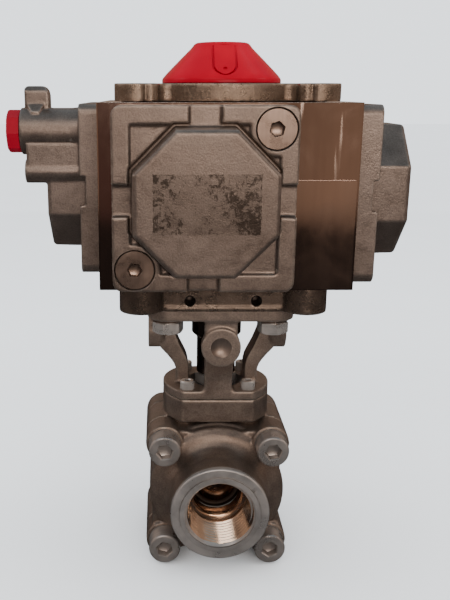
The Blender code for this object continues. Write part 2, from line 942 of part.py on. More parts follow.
def indicator():
    dome = turned(
        [
            (0, DOME_Z1 - 3.2),
            (DOME_R1 - 2.0, DOME_Z1 - 3.2),
            (DOME_R0 - 3.2, DOME_Z0 + 1.8),
            (DOME_R0 - 2.6, DOME_Z0),
            (DOME_R0, DOME_Z0),
            (DOME_R0, DOME_Z0 + 1.8),
            (DOME_R1, DOME_Z1 - 0.6),
            (DOME_R1 - 0.8, DOME_Z1),
            (0, DOME_Z1),
        ],
        32,
    )
    add(
        dome,
        turned([(0, 241.9), (7.0, 241.9), (7.0, 249.0), (0, 249.0)], 16),
        prism(
            # The pointer rib on the cone, seen from the side: local x is outwards.
            [(10.0, 249.9), (10.0, 240.0), (22.5, 237.0), (24.2, 238.0), (14.4, 249.9)],
            -4.4,
            4.4,
            Matrix(((0, 0, 1, 0), (-1, 0, 0, 0), (0, 1, 0, 0), (0, 0, 0, 1))),
        ),
    )
    cut(
        dome,
        turned([(0, 230), (2.2, 230), (2.2, 246.6), (4.6, 248.8), (4.6, 255), (0, 255)], 12),
    )
    finish(dome, "indicator_dome", "red_plastic")
    screw = turned(
        [(0, 230.0), (1.4, 230.0), (1.4, 246.9), (4.2, 249.4), (4.2, 250.0), (0, 250.0)], 12
    )
    finish(screw, "indicator_screw", "bolt_steel")


def nameplate():
    solid = prism(rounded(12.6, 23.2, 1.0, 1, 40.9, 170.1), 55.0, 55.5, FRONT)
    finish(solid, "nameplate", "foil")


def main():
    clear_scene()
    valve_body()
    end_cap(0, "front_end_cap")
    end_cap(2, "rear_end_cap")
    body_screws()
    ball()
    seat(0, "front_seat")
    seat(2, "rear_seat")
    stem()
    stem_stack()
    bracket()
    bracket_screws()
    coupling = turned(
        [
            (0, 91.4),
            (9.75, 91.4),
            (9.75, 110.0),
            (12.35, 112.5),
            (12.35, 130.5),
            (0, 130.5),
        ],
        28,
    )
    add(coupling, box(-5.5, 5.5, -5.5, 5.5, 129.0, 149.0))
    socket = rod(6.6, 80, 103.0, 20)
    common(socket, box(-4.3, 4.3, -10, 10, 70, 110))
    cut(coupling, socket)
    finish(coupling, "coupling", "machined_steel")
    covers()
    actuator_body()
    caps()
    pinion()
    bushings()
    pistons()
    springs()
    indicator()
    nameplate()


main()
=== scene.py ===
"""Finished look of the pneumatic actuated valve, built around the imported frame."""
import math

import bmesh
import bpy
from mathutils import Matrix, Vector


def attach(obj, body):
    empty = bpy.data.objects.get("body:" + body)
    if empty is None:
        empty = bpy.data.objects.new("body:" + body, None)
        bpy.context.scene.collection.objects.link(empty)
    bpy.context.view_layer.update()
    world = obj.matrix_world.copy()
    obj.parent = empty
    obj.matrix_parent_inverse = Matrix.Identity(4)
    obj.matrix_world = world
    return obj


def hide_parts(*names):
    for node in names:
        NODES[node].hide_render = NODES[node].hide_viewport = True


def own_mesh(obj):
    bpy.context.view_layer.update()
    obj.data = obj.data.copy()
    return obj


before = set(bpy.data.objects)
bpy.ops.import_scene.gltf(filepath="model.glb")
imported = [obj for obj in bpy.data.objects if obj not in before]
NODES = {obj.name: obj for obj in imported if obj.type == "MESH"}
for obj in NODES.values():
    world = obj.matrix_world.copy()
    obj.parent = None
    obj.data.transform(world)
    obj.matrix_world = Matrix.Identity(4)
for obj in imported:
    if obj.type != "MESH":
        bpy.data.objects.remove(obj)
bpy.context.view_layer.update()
MM = 0.001

# ------------------------------------------------------------------ sizes (mm)
BALL_Z, BALL_R, BORE_R = 35.2, 19.0, 12.5
LOBE_C, LOBE_R, FLANGE_R = 26.2, 9.3, 33.7
JOINT_Y, SEAT_Y, HUB_R, HUB_Y = 10.8, 25.0, 23.6, 48.2
PAD_R, PAD_Y, PAD_Z0, PAD_Z1 = 26.8, 20.3, 71.1, 82.5
BASE_Z0, BASE_Z1 = 82.8, 87.2
PLATE_Z0, PLATE_Z1, PLATE_H = 126.4, 132.4, 34.3
LEG_W, BOSS_Z, BOSS_R, BOSS_FACE = 6.8, 113.7, 9.3, 34.3
BOLT_XY, BASE_SCREW_X, BASE_SCREW_Y = 24.75, 15.0, 15.2
LOW_Z0, LOW_Z1 = 132.7, 146.0
BODY_Z0, BODY_Z1, BODY_H = 146.3, 224.6, 54.7
TOP_Z0, TOP_Z1 = 224.9, 232.2
CYL_Z, OFFSET, CYL_R = 185.7, 10.5, 28.0
PISTON_T0, PISTON_T1 = 22.0, 34.0
CAP_S, CAP_T0, CAP_T1, OCT, OCT_T1 = 38.0, 55.0, 64.8, 29.25, 80.7
CAVITY_R, CAVITY_T, CAP_SCREW = 25.0, 77.4, 28.7
MODULE, TEETH, ADD, DED = 1.5, 14, 1.05, 1.45
PRESSURE = math.radians(20)
SPRING_R, WIRE_R, COILS = 18.0, 1.95, 5
DOME_Z0, DOME_Z1, DOME_R0, DOME_R1 = 232.5, 250.4, 27.6, 12.4
PORT_Y, PORT_Z, PORT_R, PORT_T = 10.0, 211.2, 10.5, 92.2
SMALL_Y, SMALL_Z, SMALL_R, SMALL_T = 15.0, 193.5, 5.4, 90.3
DIAGONAL = {0: ((1, 1), (-1, -1)), 1: ((1, 1), (-1, -1)), 2: ((1, 1), (-1, -1)), 3: ((-1, 1), (1, -1))}
SIDES = {0: "front", 1: "right", 2: "rear", 3: "left"}
CORNERS = (("front_left", -1, -1), ("front_right", 1, -1), ("rear_right", 1, 1), ("rear_left", -1, 1))


# ------------------------------------------------------------------ materials
def _new(name):
    m = bpy.data.materials.new(name)
    m.use_nodes = True
    t = m.node_tree
    return m, t, t.nodes["Principled BSDF"]


def _node(t, kind, **values):
    n = t.nodes.new(kind)
    for key, value in values.items():
        setattr(n, key, value)
    return n


def _noise(t, coord, scale, detail=4.0, rough=0.55, distortion=0.0):
    n = _node(t, "ShaderNodeTexNoise")
    n.inputs["Scale"].default_value = scale
    n.inputs["Detail"].default_value = detail
    n.inputs["Roughness"].default_value = rough
    n.inputs["Distortion"].default_value = distortion
    t.links.new(coord, n.inputs["Vector"])
    return n.outputs["Fac"]


def _ramp(t, fac, stops):
    r = _node(t, "ShaderNodeValToRGB")
    while len(r.color_ramp.elements) < len(stops):
        r.color_ramp.elements.new(0.5)
    for element, (pos, color) in zip(r.color_ramp.elements, stops):
        element.position = pos
        element.color = (*color, 1) if len(color) == 3 else color
    t.links.new(fac, r.inputs["Fac"])
    return r.outputs["Color"]


def _grey(a):
    return (a, a, a)


def _mix(t, fac, a, b, blend="MIX"):
    m = _node(t, "ShaderNodeMix", data_type="RGBA", blend_type=blend)
    if isinstance(fac, (int, float)):
        m.inputs[0].default_value = fac
    else:
        t.links.new(fac, m.inputs[0])
    for socket, value in ((m.inputs[6], a), (m.inputs[7], b)):
        if isinstance(value, tuple):
            socket.default_value = (*value, 1) if len(value) == 3 else value
        else:
            t.links.new(value, socket)
    return m.outputs[2]


def _math(t, op, a, b=0.0, clamp=False):
    m = _node(t, "ShaderNodeMath", operation=op, use_clamp=clamp)
    for socket, value in ((m.inputs[0], a), (m.inputs[1], b)):
        if isinstance(value, (int, float)):
            socket.default_value = value
        else:
            t.links.new(value, socket)
    return m.outputs[0]


def _bump(t, height, strength, distance, shader, before=None):
    b = _node(t, "ShaderNodeBump")
    b.inputs["Strength"].default_value = strength
    b.inputs["Distance"].default_value = distance
    t.links.new(height, b.inputs["Height"])
    if before is not None:
        t.links.new(before, b.inputs["Normal"])
    t.links.new(b.outputs["Normal"], shader.inputs["Normal"])
    return b.outputs["Normal"]


def _pointy(t, low=0.49, high=0.60):
    g = _node(t, "ShaderNodeNewGeometry")
    return _ramp(t, g.outputs["Pointiness"], [(low, _grey(0)), (high, _grey(1))])


def _coord(t):
    return _node(t, "ShaderNodeTexCoord").outputs["Object"]


def cast(name, dark, light, metallic=0.85, rough=(0.34, 0.5), grain=1.0, edge=(0.42, 0.36, 0.30), stain=None):
    """Blasted casting: mottled tone, fine grain in the relief, rubbed edges and painted shade darkening the hollows."""
    m, t, s = _new(name)
    c = _coord(t)
    broad = _noise(t, c, 28.0, 3.0, 0.6)
    middle = _noise(t, c, 150.0, 5.0, 0.65)
    fine = _noise(t, c, 1500.0, 4.0, 0.7)
    tone = _math(t, "ADD", _math(t, "MULTIPLY", broad, 0.6), _math(t, "MULTIPLY", middle, 0.4))
    color = _ramp(t, tone, [(0.36, dark), (0.64, light)])
    speck = _ramp(t, fine, [(0.35, _grey(0.78)), (0.62, _grey(1.12))])
    color = _mix(t, 1.0, color, speck, "MULTIPLY")
    worn = _math(t, "MULTIPLY", _pointy(t, 0.505, 0.58), _ramp(t, _noise(t, c, 320.0, 4.0, 0.7), [(0.4, _grey(0.15)), (0.6, _grey(0.8))]))
    color = _mix(t, worn, color, edge)
    # Painted shade: hollows and creases (low pointiness) are darkened towards a third of the dark tone.
    hollow = _node(t, "ShaderNodeNewGeometry")
    groove = _ramp(t, hollow.outputs["Pointiness"], [(0.42, _grey(1)), (0.49, _grey(0))])
    color = _mix(t, _math(t, "MULTIPLY", groove, 0.65), color, tuple(v * 0.35 for v in dark))
    if stain:
        color = stain(t, c, color)
    t.links.new(color, s.inputs["Base Color"])
    r = _ramp(t, middle, [(0.35, _grey(rough[0])), (0.65, _grey(rough[1]))])
    t.links.new(r, s.inputs["Roughness"])
    s.inputs["Metallic"].default_value = metallic
    n = _bump(t, fine, 0.35 * grain, 0.00025, s)
    _bump(t, middle, 0.25 * grain, 0.0006, s, n)
    return m


def turned_metal(name, color, rough=0.28, axis="Z", metallic=1.0, line=900.0, tint=0.12, bump=0.12):
    """Turned or drawn metal: fine tool lines round or along one axis."""
    m, t, s = _new(name)
    c = _coord(t)
    mapping = _node(t, "ShaderNodeMapping")
    scale = {"X": (line, 12, 12), "Y": (12, line, 12), "Z": (12, 12, line)}[axis]
    mapping.inputs["Scale"].default_value = scale
    t.links.new(c, mapping.inputs["Vector"])
    lines = _noise(t, mapping.outputs["Vector"], 1.0, 3.0, 0.6)
    cloud = _noise(t, c, 90.0, 4.0, 0.6)
    tone = _ramp(t, lines, [(0.3, tuple(v * (1 - tint) for v in color)), (0.7, tuple(min(1, v * (1 + tint)) for v in color))])
    dull = _ramp(t, cloud, [(0.4, _grey(0.82)), (0.62, _grey(1.05))])
    full = _mix(t, 1.0, tone, dull, "MULTIPLY")
    t.links.new(full, s.inputs["Base Color"])
    t.links.new(_ramp(t, cloud, [(0.35, _grey(rough * 0.8)), (0.65, _grey(rough * 1.25))]), s.inputs["Roughness"])
    s.inputs["Metallic"].default_value = metallic
    _bump(t, lines, bump, 0.00008, s)
    return m


def polished(name, dark, light, rough=(0.05, 0.14)):
    """Smooth polished extrusion: soft long streaks, hairline scratches and faint smears."""
    m, t, s = _new(name)
    c = _coord(t)
    mapping = _node(t, "ShaderNodeMapping")
    mapping.inputs["Scale"].default_value = (60, 60, 4)
    t.links.new(c, mapping.inputs["Vector"])
    streak = _noise(t, mapping.outputs["Vector"], 1.0, 4.0, 0.6)
    smear = _noise(t, c, 45.0, 5.0, 0.65, 0.6)
    color = _ramp(t, streak, [(0.3, dark), (0.7, light)])
    turned_map = _node(t, "ShaderNodeMapping")
    turned_map.inputs["Rotation"].default_value = (0.35, 0.5, 0.2)
    turned_map.inputs["Scale"].default_value = (260, 260, 14)
    t.links.new(c, turned_map.inputs["Vector"])
    hair = _ramp(t, _noise(t, turned_map.outputs["Vector"], 1.0, 2.0, 0.5), [(0.70, _grey(0)), (0.74, _grey(1))])
    color = _mix(t, _math(t, "MULTIPLY", hair, 0.35), color, (0.55, 0.46, 0.40))
    t.links.new(color, s.inputs["Base Color"])
    r = _math(t, "ADD", _ramp(t, smear, [(0.35, _grey(rough[0])), (0.7, _grey(rough[1]))]), _math(t, "MULTIPLY", hair, 0.15))
    t.links.new(r, s.inputs["Roughness"])
    s.inputs["Metallic"].default_value = 1.0
    _bump(t, _math(t, "ADD", _math(t, "MULTIPLY", smear, 0.7), hair), 0.05, 0.0002, s)
    return m


def plastic(name, color, rough=0.25, grain=0.06, specular=0.5):
    m, t, s = _new(name)
    c = _coord(t)
    cloud = _noise(t, c, 70.0, 3.0, 0.5)
    fine = _noise(t, c, 900.0, 3.0, 0.6)
    t.links.new(_ramp(t, cloud, [(0.35, tuple(v * 0.86 for v in color)), (0.65, color)]), s.inputs["Base Color"])
    t.links.new(_ramp(t, fine, [(0.3, _grey(rough * 0.85)), (0.7, _grey(rough * 1.25))]), s.inputs["Roughness"])
    s.inputs["Specular IOR Level"].default_value = specular
    _bump(t, fine, grain, 0.0001, s)
    return m


def residue(t, c, color):
    """What is left of a peeled-off blank label: a mottled rectangle on the boss's face."""
    sep = _node(t, "ShaderNodeSeparateXYZ")
    t.links.new(c, sep.inputs[0])
    edge = _math(t, "MULTIPLY", _math(t, "SUBTRACT", _noise(t, c, 900.0, 3.0, 0.6), 0.5), 0.0012)
    dx = _math(t, "ABSOLUTE", _math(t, "ADD", sep.outputs[0], 0.0105 - 0.0002))
    dz = _math(t, "ABSOLUTE", _math(t, "SUBTRACT", sep.outputs[2], 0.1862))
    inside = _math(t, "MULTIPLY", _math(t, "LESS_THAN", _math(t, "ADD", dx, edge), 0.0212), _math(t, "LESS_THAN", _math(t, "ADD", dz, edge), 0.0118))
    front = _math(t, "LESS_THAN", sep.outputs[1], -0.0790)
    inside = _math(t, "MULTIPLY", inside, front)
    # Thicker towards the left and right ends, thin across the middle.
    ends = _ramp(t, _math(t, "MULTIPLY", dx, 47.0), [(0.30, _grey(0.0)), (1.0, _grey(0.085))])
    # A band of it runs down from the middle to the right-hand end.
    slant = _math(t, "ABSOLUTE", _math(t, "ADD", _math(t, "ADD", sep.outputs[0], -0.0006), _math(t, "MULTIPLY", _math(t, "SUBTRACT", sep.outputs[2], 0.1862), 0.75)))
    band = _ramp(t, _math(t, "MULTIPLY", slant, 100.0), [(0.10, _grey(0.07)), (0.75, _grey(0.0))])
    blot = _noise(t, c, 260.0, 7.0, 0.78, 0.9)
    flake = _noise(t, c, 950.0, 5.0, 0.85)
    amount = _math(t, "ADD", _math(t, "MULTIPLY", blot, 0.72), _math(t, "MULTIPLY", flake, 0.34))
    amount = _math(t, "ADD", amount, _math(t, "ADD", ends, band))
    cover = _ramp(t, amount, [(0.575, _grey(0)), (0.64, _grey(1))])
    cover = _math(t, "MULTIPLY", _math(t, "MULTIPLY", cover, inside), 0.8)
    film = _math(t, "MULTIPLY", inside, 0.22)
    color = _mix(t, film, color, (0.06, 0.046, 0.036))
    return _mix(t, cover, color, (0.022, 0.015, 0.011))


M = {}
M["cast_steel"] = cast("cast_steel", (0.155, 0.113, 0.089), (0.255, 0.197, 0.160), metallic=0.88, rough=(0.34, 0.48))
M["cast_bracket"] = cast("cast_bracket", (0.180, 0.132, 0.104), (0.285, 0.220, 0.178), metallic=0.84, rough=(0.34, 0.48), grain=0.9)
M["cast_alloy"] = cast("cast_alloy", (0.160, 0.123, 0.101), (0.245, 0.192, 0.162), metallic=0.9, rough=(0.30, 0.44), grain=0.9, edge=(0.50, 0.43, 0.37))
M["cast_alloy_front"] = cast("cast_alloy_front", (0.150, 0.112, 0.091), (0.245, 0.189, 0.156), metallic=0.9, rough=(0.31, 0.46), grain=0.9, edge=(0.52, 0.44, 0.37), stain=residue)
M["cast_cover"] = cast("cast_cover", (0.150, 0.105, 0.075), (0.280, 0.208, 0.156), metallic=0.9, rough=(0.22, 0.36), grain=1.7, edge=(0.55, 0.44, 0.35))
# A darker copy of the cover casting for the lower cover: painted shade under the body's overhang.
M["cast_cover_painted_shade"] = cast("cast_cover_painted_shade", (0.085, 0.062, 0.048), (0.170, 0.126, 0.098), metallic=0.9, rough=(0.22, 0.36), grain=1.5, edge=(0.48, 0.38, 0.30))
M["machined"] = turned_metal("machined", (0.36, 0.325, 0.300), 0.34, "Y", metallic=0.82)
M["thread"] = turned_metal("thread", (0.80, 0.62, 0.48), 0.18, "Y", bump=0.2)
M["machined_z"] = turned_metal("machined_z", (0.40, 0.37, 0.34), 0.28, "Z")
M["milled"] = turned_metal("milled", (0.26, 0.20, 0.165), 0.36, "X", metallic=0.9, tint=0.08)
# Painted shade: a near-black metal for the walls of sockets and tapped holes, standing in for the shade inside them.
M["painted_shade_hole"] = turned_metal("painted_shade_hole", (0.11, 0.085, 0.072), 0.45, "X", metallic=0.9, tint=0.06)
M["screw"] = turned_metal("screw", (0.35, 0.310, 0.282), 0.30, "Y", metallic=0.84, tint=0.08)
M["screw_dark"] = turned_metal("screw_dark", (0.27, 0.195, 0.155), 0.30, "X", metallic=0.95, tint=0.10)
M["bolt"] = turned_metal("bolt", (0.52, 0.465, 0.42), 0.30, "Z", metallic=0.8, tint=0.08)
M["shaft"] = turned_metal("shaft", (0.12, 0.105, 0.095), 0.24, "Z", tint=0.15)
M["piston"] = turned_metal("piston", (0.62, 0.60, 0.58), 0.32, "Z", tint=0.06)
M["ball"] = turned_metal("ball", (0.22, 0.165, 0.135), 0.08, "Y", line=200.0, tint=0.03, bump=0.02)
M["polished"] = polished("polished", (0.31, 0.220, 0.178), (0.43, 0.310, 0.250))
M["rim"] = turned_metal("rim", (0.62, 0.60, 0.58), 0.16, "X", tint=0.05)
M["foil"] = polished("foil", (0.38, 0.275, 0.22), (0.52, 0.385, 0.315), (0.08, 0.16))
M["spring"] = turned_metal("spring", (0.15, 0.16, 0.18), 0.35, "Z", tint=0.2)
M["red"] = plastic("red", (0.31, 0.0, 0.010), 0.20, 0.05, specular=0.07)
M["red_plug"] = plastic("red_plug", (0.19, 0.0, 0.007), 0.34, 0.05, specular=0.07)
M["polymer"] = plastic("polymer", (0.80, 0.78, 0.73), 0.45, 0.1)
M["seal"] = plastic("seal", (0.018, 0.018, 0.018), 0.5, 0.1)
M["gasket"] = plastic("gasket", (0.03, 0.028, 0.026), 0.6, 0.2)


# ------------------------------------------------------------------ modelling helpers
def base(bm, mat=None):
    mesh = bpy.data.meshes.new("work")
    bm.to_mesh(mesh)
    bm.free()
    if mat:
        mesh.materials.append(M[mat])
    obj = bpy.data.objects.new("work", mesh)
    bpy.context.scene.collection.objects.link(obj)
    return obj


def prism(outline, z0, z1, matrix=None, mat=None):
    bm = bmesh.new()
    low = [bm.verts.new((x, y, z0)) for x, y in outline]
    top = [bm.verts.new((x, y, z1)) for x, y in outline]
    n = len(outline)
    bm.faces.new(low[::-1])
    bm.faces.new(top)
    for i in range(n):
        j = (i + 1) % n
        bm.faces.new((low[i], low[j], top[j], top[i]))
    bmesh.ops.recalc_face_normals(bm, faces=bm.faces)
    if matrix:
        bm.transform(matrix)
    return base(bm, mat)


def lofted(rings, matrix=None, mat=None):
    """A solid through rings of points, all with the same count."""
    bm = bmesh.new()
    made = [[bm.verts.new(p) for p in ring] for ring in rings]
    n = len(made[0])
    for a, b in zip(made, made[1:]):
        for i in range(n):
            j = (i + 1) % n
            bm.faces.new((a[i], a[j], b[j], b[i]))
    bm.faces.new(made[0][::-1])
    bm.faces.new(made[-1])
    bmesh.ops.recalc_face_normals(bm, faces=bm.faces)
    if matrix:
        bm.transform(matrix)
    return base(bm, mat)


def turned(profile, segments, matrix=None, phase=0.0, mat=None):
    bm = bmesh.new()
    rings = []
    for r, z in profile:
        if r < 1e-6:
            rings.append([bm.verts.new((0, 0, z))])
        else:
            rings.append([bm.verts.new((r * math.cos(phase + 2 * math.pi * k / segments), r * math.sin(phase + 2 * math.pi * k / segments), z)) for k in range(segments)])
    n = len(rings)
    for i in range(n):
        a, b = rings[i], rings[(i + 1) % n]
        if len(a) == 1 and len(b) == 1:
            continue
        for k in range(segments):
            m = (k + 1) % segments
            if len(a) == 1:
                bm.faces.new((a[0], b[m], b[k]))
            elif len(b) == 1:
                bm.faces.new((a[k], a[m], b[0]))
            else:
                bm.faces.new((a[k], a[m], b[m], b[k]))
    bmesh.ops.recalc_face_normals(bm, faces=bm.faces)
    if matrix:
        bm.transform(matrix)
    return base(bm, mat)


def rod(r, z0, z1, segments=32, matrix=None, phase=0.0, mat=None):
    return turned([(0, z0), (r, z0), (r, z1), (0, z1)], segments, matrix, phase, mat)


def ring(inner, outer, z0, z1, segments=64, matrix=None, mat=None):
    return turned([(inner, z0), (outer, z0), (outer, z1), (inner, z1)], segments, matrix, 0.0, mat)


def box(x0, x1, y0, y1, z0, z1, matrix=None, mat=None):
    return prism([(x0, y0), (x1, y0), (x1, y1), (x0, y1)], z0, z1, matrix, mat)


def bake(obj):
    """Applies the object's modifiers to its mesh."""
    bpy.context.view_layer.update()
    graph = bpy.context.evaluated_depsgraph_get()
    result = bpy.data.meshes.new_from_object(obj.evaluated_get(graph))
    obj.modifiers.clear()
    old = obj.data
    obj.data = result
    bpy.data.meshes.remove(old)
    return obj


def boolean(target, other, operation):
    modifier = target.modifiers.new("op", "BOOLEAN")
    modifier.operation = operation
    modifier.solver = "EXACT"
    modifier.material_mode = "TRANSFER"
    modifier.object = other
    bake(target)
    mesh = other.data
    bpy.data.objects.remove(other)
    bpy.data.meshes.remove(mesh)
    return target


def cut(target, *others):
    for other in others:
        boolean(target, other, "DIFFERENCE")
    return target


def add(target, *others):
    for other in others:
        boolean(target, other, "UNION")
    return target


def common(target, other):
    return boolean(target, other, "INTERSECT")


def skin(obj, voxel=0.6, smooth=6, mat=None):
    """Turns a sharp solid into a casting: even mesh, rounded edges and filled corners."""
    modifier = obj.modifiers.new("voxel", "REMESH")
    modifier.mode = "VOXEL"
    modifier.voxel_size = voxel
    modifier = obj.modifiers.new("smooth", "SMOOTH")
    modifier.factor = 0.5
    modifier.iterations = smooth
    bake(obj)
    if mat:
        obj.data.materials.clear()
        obj.data.materials.append(M[mat])
    return obj


def arc(cx, cy, r, a0, a1, n):
    return [(cx + r * math.cos(math.radians(a0 + (a1 - a0) * i / n)), cy + r * math.sin(math.radians(a0 + (a1 - a0) * i / n))) for i in range(n + 1)]


def circle(r, n, cx=0.0, cy=0.0, phase=0.0):
    return [(cx + r * math.cos(phase + 2 * math.pi * k / n), cy + r * math.sin(phase + 2 * math.pi * k / n)) for k in range(n)]


def rounded(hx, hy, r, n=8, cx=0.0, cy=0.0):
    points = []
    for k, (sx, sy) in enumerate(((1, 1), (-1, 1), (-1, -1), (1, -1))):
        for i in range(n + 1):
            a = math.radians(90 * k + 90 * i / n)
            points.append((cx + sx * (hx - r) + r * math.cos(a), cy + sy * (hy - r) + r * math.sin(a)))
    return points


def octagon(half, cx=0.0, cy=0.0):
    return circle(half / math.cos(math.pi / 8), 8, cx, cy, math.pi / 8)


def hexagon(af, phase=0.0):
    return circle(af / math.sqrt(3), 6, 0, 0, phase)


def four_fold(quarter):
    points = []
    for k in range(4):
        c, s = ((1, 0), (0, 1), (-1, 0), (0, -1))[k]
        points += [(c * x - s * y, s * x + c * y) for x, y in quarter]
    return points


def at(x, y, z=0.0):
    return Matrix.Translation((x, y, z))


FRONT = Matrix(((1, 0, 0, 0), (0, 0, -1, 0), (0, 1, 0, 0), (0, 0, 0, 1)))
PIPE = Matrix.Translation((0, 0, BALL_Z))


def turn(k):
    return Matrix.Rotation(math.radians(90 * k), 4, "Z")


def side(k):
    return turn(k) @ FRONT


def pipe_end(k):
    return PIPE @ turn(k) @ FRONT


def done(obj, name, body, replaced=(), mats=None, angle=32, bevel=0.0, segments=2, rim=None, weighted=True):
    """Scales a millimetre solid to metres, dresses it and lets it ride on its body."""
    mesh = obj.data
    mesh.transform(Matrix.Scale(MM, 4))
    mesh.name = name
    obj.name = name
    if mats:
        mesh.materials.clear()
        for m in mats:
            mesh.materials.append(M[m])
    if bevel:
        modifier = obj.modifiers.new("edge", "BEVEL")
        modifier.width = bevel * MM
        modifier.segments = segments
        modifier.limit_method = "ANGLE"
        modifier.angle_limit = math.radians(28)
        modifier.harden_normals = False
        modifier.use_clamp_overlap = True
        if rim:
            obj.data.materials.append(M[rim])
            modifier.material = len(obj.data.materials) - 1
        bake(obj)
    obj.data.shade_smooth()
    obj.data.set_sharp_from_angle(angle=math.radians(angle))
    if weighted:
        modifier = obj.modifiers.new("flat", "WEIGHTED_NORMAL")
        modifier.keep_sharp = True
        modifier.weight = 90
        bake(obj)
    if replaced:
        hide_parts(*replaced)
    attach(obj, body)
    return obj


def copy_of(source, name, body, matrix, replaced=(), mats=None):
    """Another piece that shares a finished one's shape; matrix is in millimetres."""
    mesh = source.data.copy()
    moved = matrix.copy()
    moved.translation = moved.translation * MM
    mesh.transform(moved)
    mesh.name = name
    if mats:
        for i, m in enumerate(mats):
            mesh.materials[i] = M[m]
    obj = bpy.data.objects.new(name, mesh)
    bpy.context.scene.collection.objects.link(obj)
    if replaced:
        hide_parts(*replaced)
    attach(obj, body)
    return obj


# ------------------------------------------------------------------ the ball valve
def lobed(r_flange=FLANGE_R, r_lobe=LOBE_R, flat=BALL_Z):
    quarter = arc(0, 0, r_flange, -21, 21, 14)
    quarter += arc(LOBE_C, LOBE_C, r_lobe, 45 - 93, 45 + 93, 20)
    return [(x, max(y, -flat)) for x, y in four_fold(quarter)]


def threaded_cutter(r_minor, r_major, pitch, z0, z1, matrix, segments=72, mat="thread", taper=0.0):
    """A rod whose radius follows a screw thread, used to cut an internal thread."""
    steps = int((z1 - z0) / pitch * 10)
    rings = []
    for i in range(steps + 1):
        z = z0 + (z1 - z0) * i / steps
        points = []
        for k in range(segments):
            a = 2 * math.pi * k / segments
            u = (z / pitch - k / segments) % 1.0
            tri = 1 - abs(2 * u - 1)
            h = min(1.0, max(0.0, (tri - 0.12) / 0.76))
            r = r_minor + (r_major - r_minor) * h + taper * (z - z0)
            points.append((r * math.cos(a), r * math.sin(a), z))
        rings.append(points)
    return lofted(rings, matrix, mat)


def end_cap(k, name, node):
    frame_ = pipe_end(k)
    solid = prism(lobed(), JOINT_Y + 0.35, 22.8, frame_)
    for sx in (-1, 1):
        for sy in (-1, 1):
            lobe = turned(
                [(0, 14), (LOBE_R - 0.1, 14), (LOBE_R - 0.1, SEAT_Y), (0, SEAT_Y)],
                48, frame_ @ at(sx * LOBE_C, sy * LOBE_C),
            )
            add(solid, lobe)
    flare = turned(
        [(0, 15.0), (33.2, 15.0), (33.2, 21.5), (32.6, 23.4), (30.8, 25.0), (28.0, 26.2), (25.8, 28.0),
         (24.4, 30.6), (23.5, 34.5), (23.5, HUB_Y - 2.6), (0, HUB_Y - 2.6)],
        96, frame_,
    )
    add(solid, flare)
    # The bead that runs along the upper rim between the two upper lobes.
    bead = [(FLANGE_R + dr, t) for dr, t in ((-3, 12.5), (1.1, 12.5), (1.5, 13.2), (1.5, 18.2), (0.9, 19.2), (-3, 19.4))]
    for turn_ in ((0,)):
        pieces = []
        a0, a1, n = math.radians(62), math.radians(118), 24
        for i in range(n + 1):
            a = a0 + (a1 - a0) * i / n
            pieces.append([(r * math.cos(a), r * math.sin(a), t) for r, t in bead])
        add(solid, lofted(pieces, frame_))
    skin(solid, 0.62, 5, "cast_steel")
    below = box(-60, 60, -60, 60, -40, 0.02)
    cut(solid, below)
    joint = box(-60, 60, -60, 60, -5, JOINT_Y + 0.32, frame_)
    cut(solid, joint)
    # Machined screw seats on the lobes.
    for sx in (-1, 1):
        for sy in (-1, 1):
            cut(solid, rod(7.95, SEAT_Y - 0.25, SEAT_Y + 6, 64, frame_ @ at(sx * LOBE_C, sy * LOBE_C), mat="machined"))
            cut(solid, rod(5.3, 5, 30, 32, frame_ @ at(sx * LOBE_C, sy * LOBE_C), mat="machined"))
    end = turned(
        [(0, 40), (HUB_R - 0.35, 40), (HUB_R - 0.35, 45.0), (HUB_R, 45.4), (HUB_R, HUB_Y - 0.95),
         (HUB_R - 0.12, HUB_Y - 0.5), (HUB_R - 0.45, HUB_Y - 0.15), (HUB_R - 0.9, HUB_Y), (0, HUB_Y)],
        128, frame_, mat="machined",
    )
    add(solid, end)
    cut(
        solid,
        turned(
            [(0, 5.0), (18.1, 5.0), (18.1, 18.3), (11.9, 18.3), (11.9, 24.2), (12.3, 24.9), (13.2, 25.0), (13.2, 26.4),
             (15.4, 26.9), (15.4, 28.6), (14.1, 29.2), (13.95, 29.4), (13.95, 30.4), (0, 30.4)],
            96, frame_, mat="thread",
        ),
        threaded_cutter(13.75, 14.9, 2.309, 28.6, HUB_Y + 1, frame_, taper=0.075),
        turned(
            [(0, HUB_Y - 2.0), (15.1, HUB_Y - 2.0), (17.0, HUB_Y - 0.12), (17.25, HUB_Y), (17.3, HUB_Y + 1.0), (17.3, HUB_Y + 3), (0, HUB_Y + 3)],
            128, frame_, mat="machined",
        ),
        # A fine step in the face round the mouth.
        ring(19.2, 19.5, HUB_Y - 0.3, HUB_Y + 1, 128, frame_, mat="machined"),
        ring(17.0, 19.3, HUB_Y - 0.14, HUB_Y + 1, 128, frame_, mat="machined"),
    )
    return done(solid, name, "housing", (node,), angle=38)


def pad_outline(r=PAD_R, flat=PAD_Y, n=24):
    a = math.asin(flat / r)
    points = []
    for start in (-a, math.pi - a):
        for i in range(n + 1):
            b = start + 2 * a * i / n
            points.append((r * math.cos(b), r * math.sin(b)))
    return points


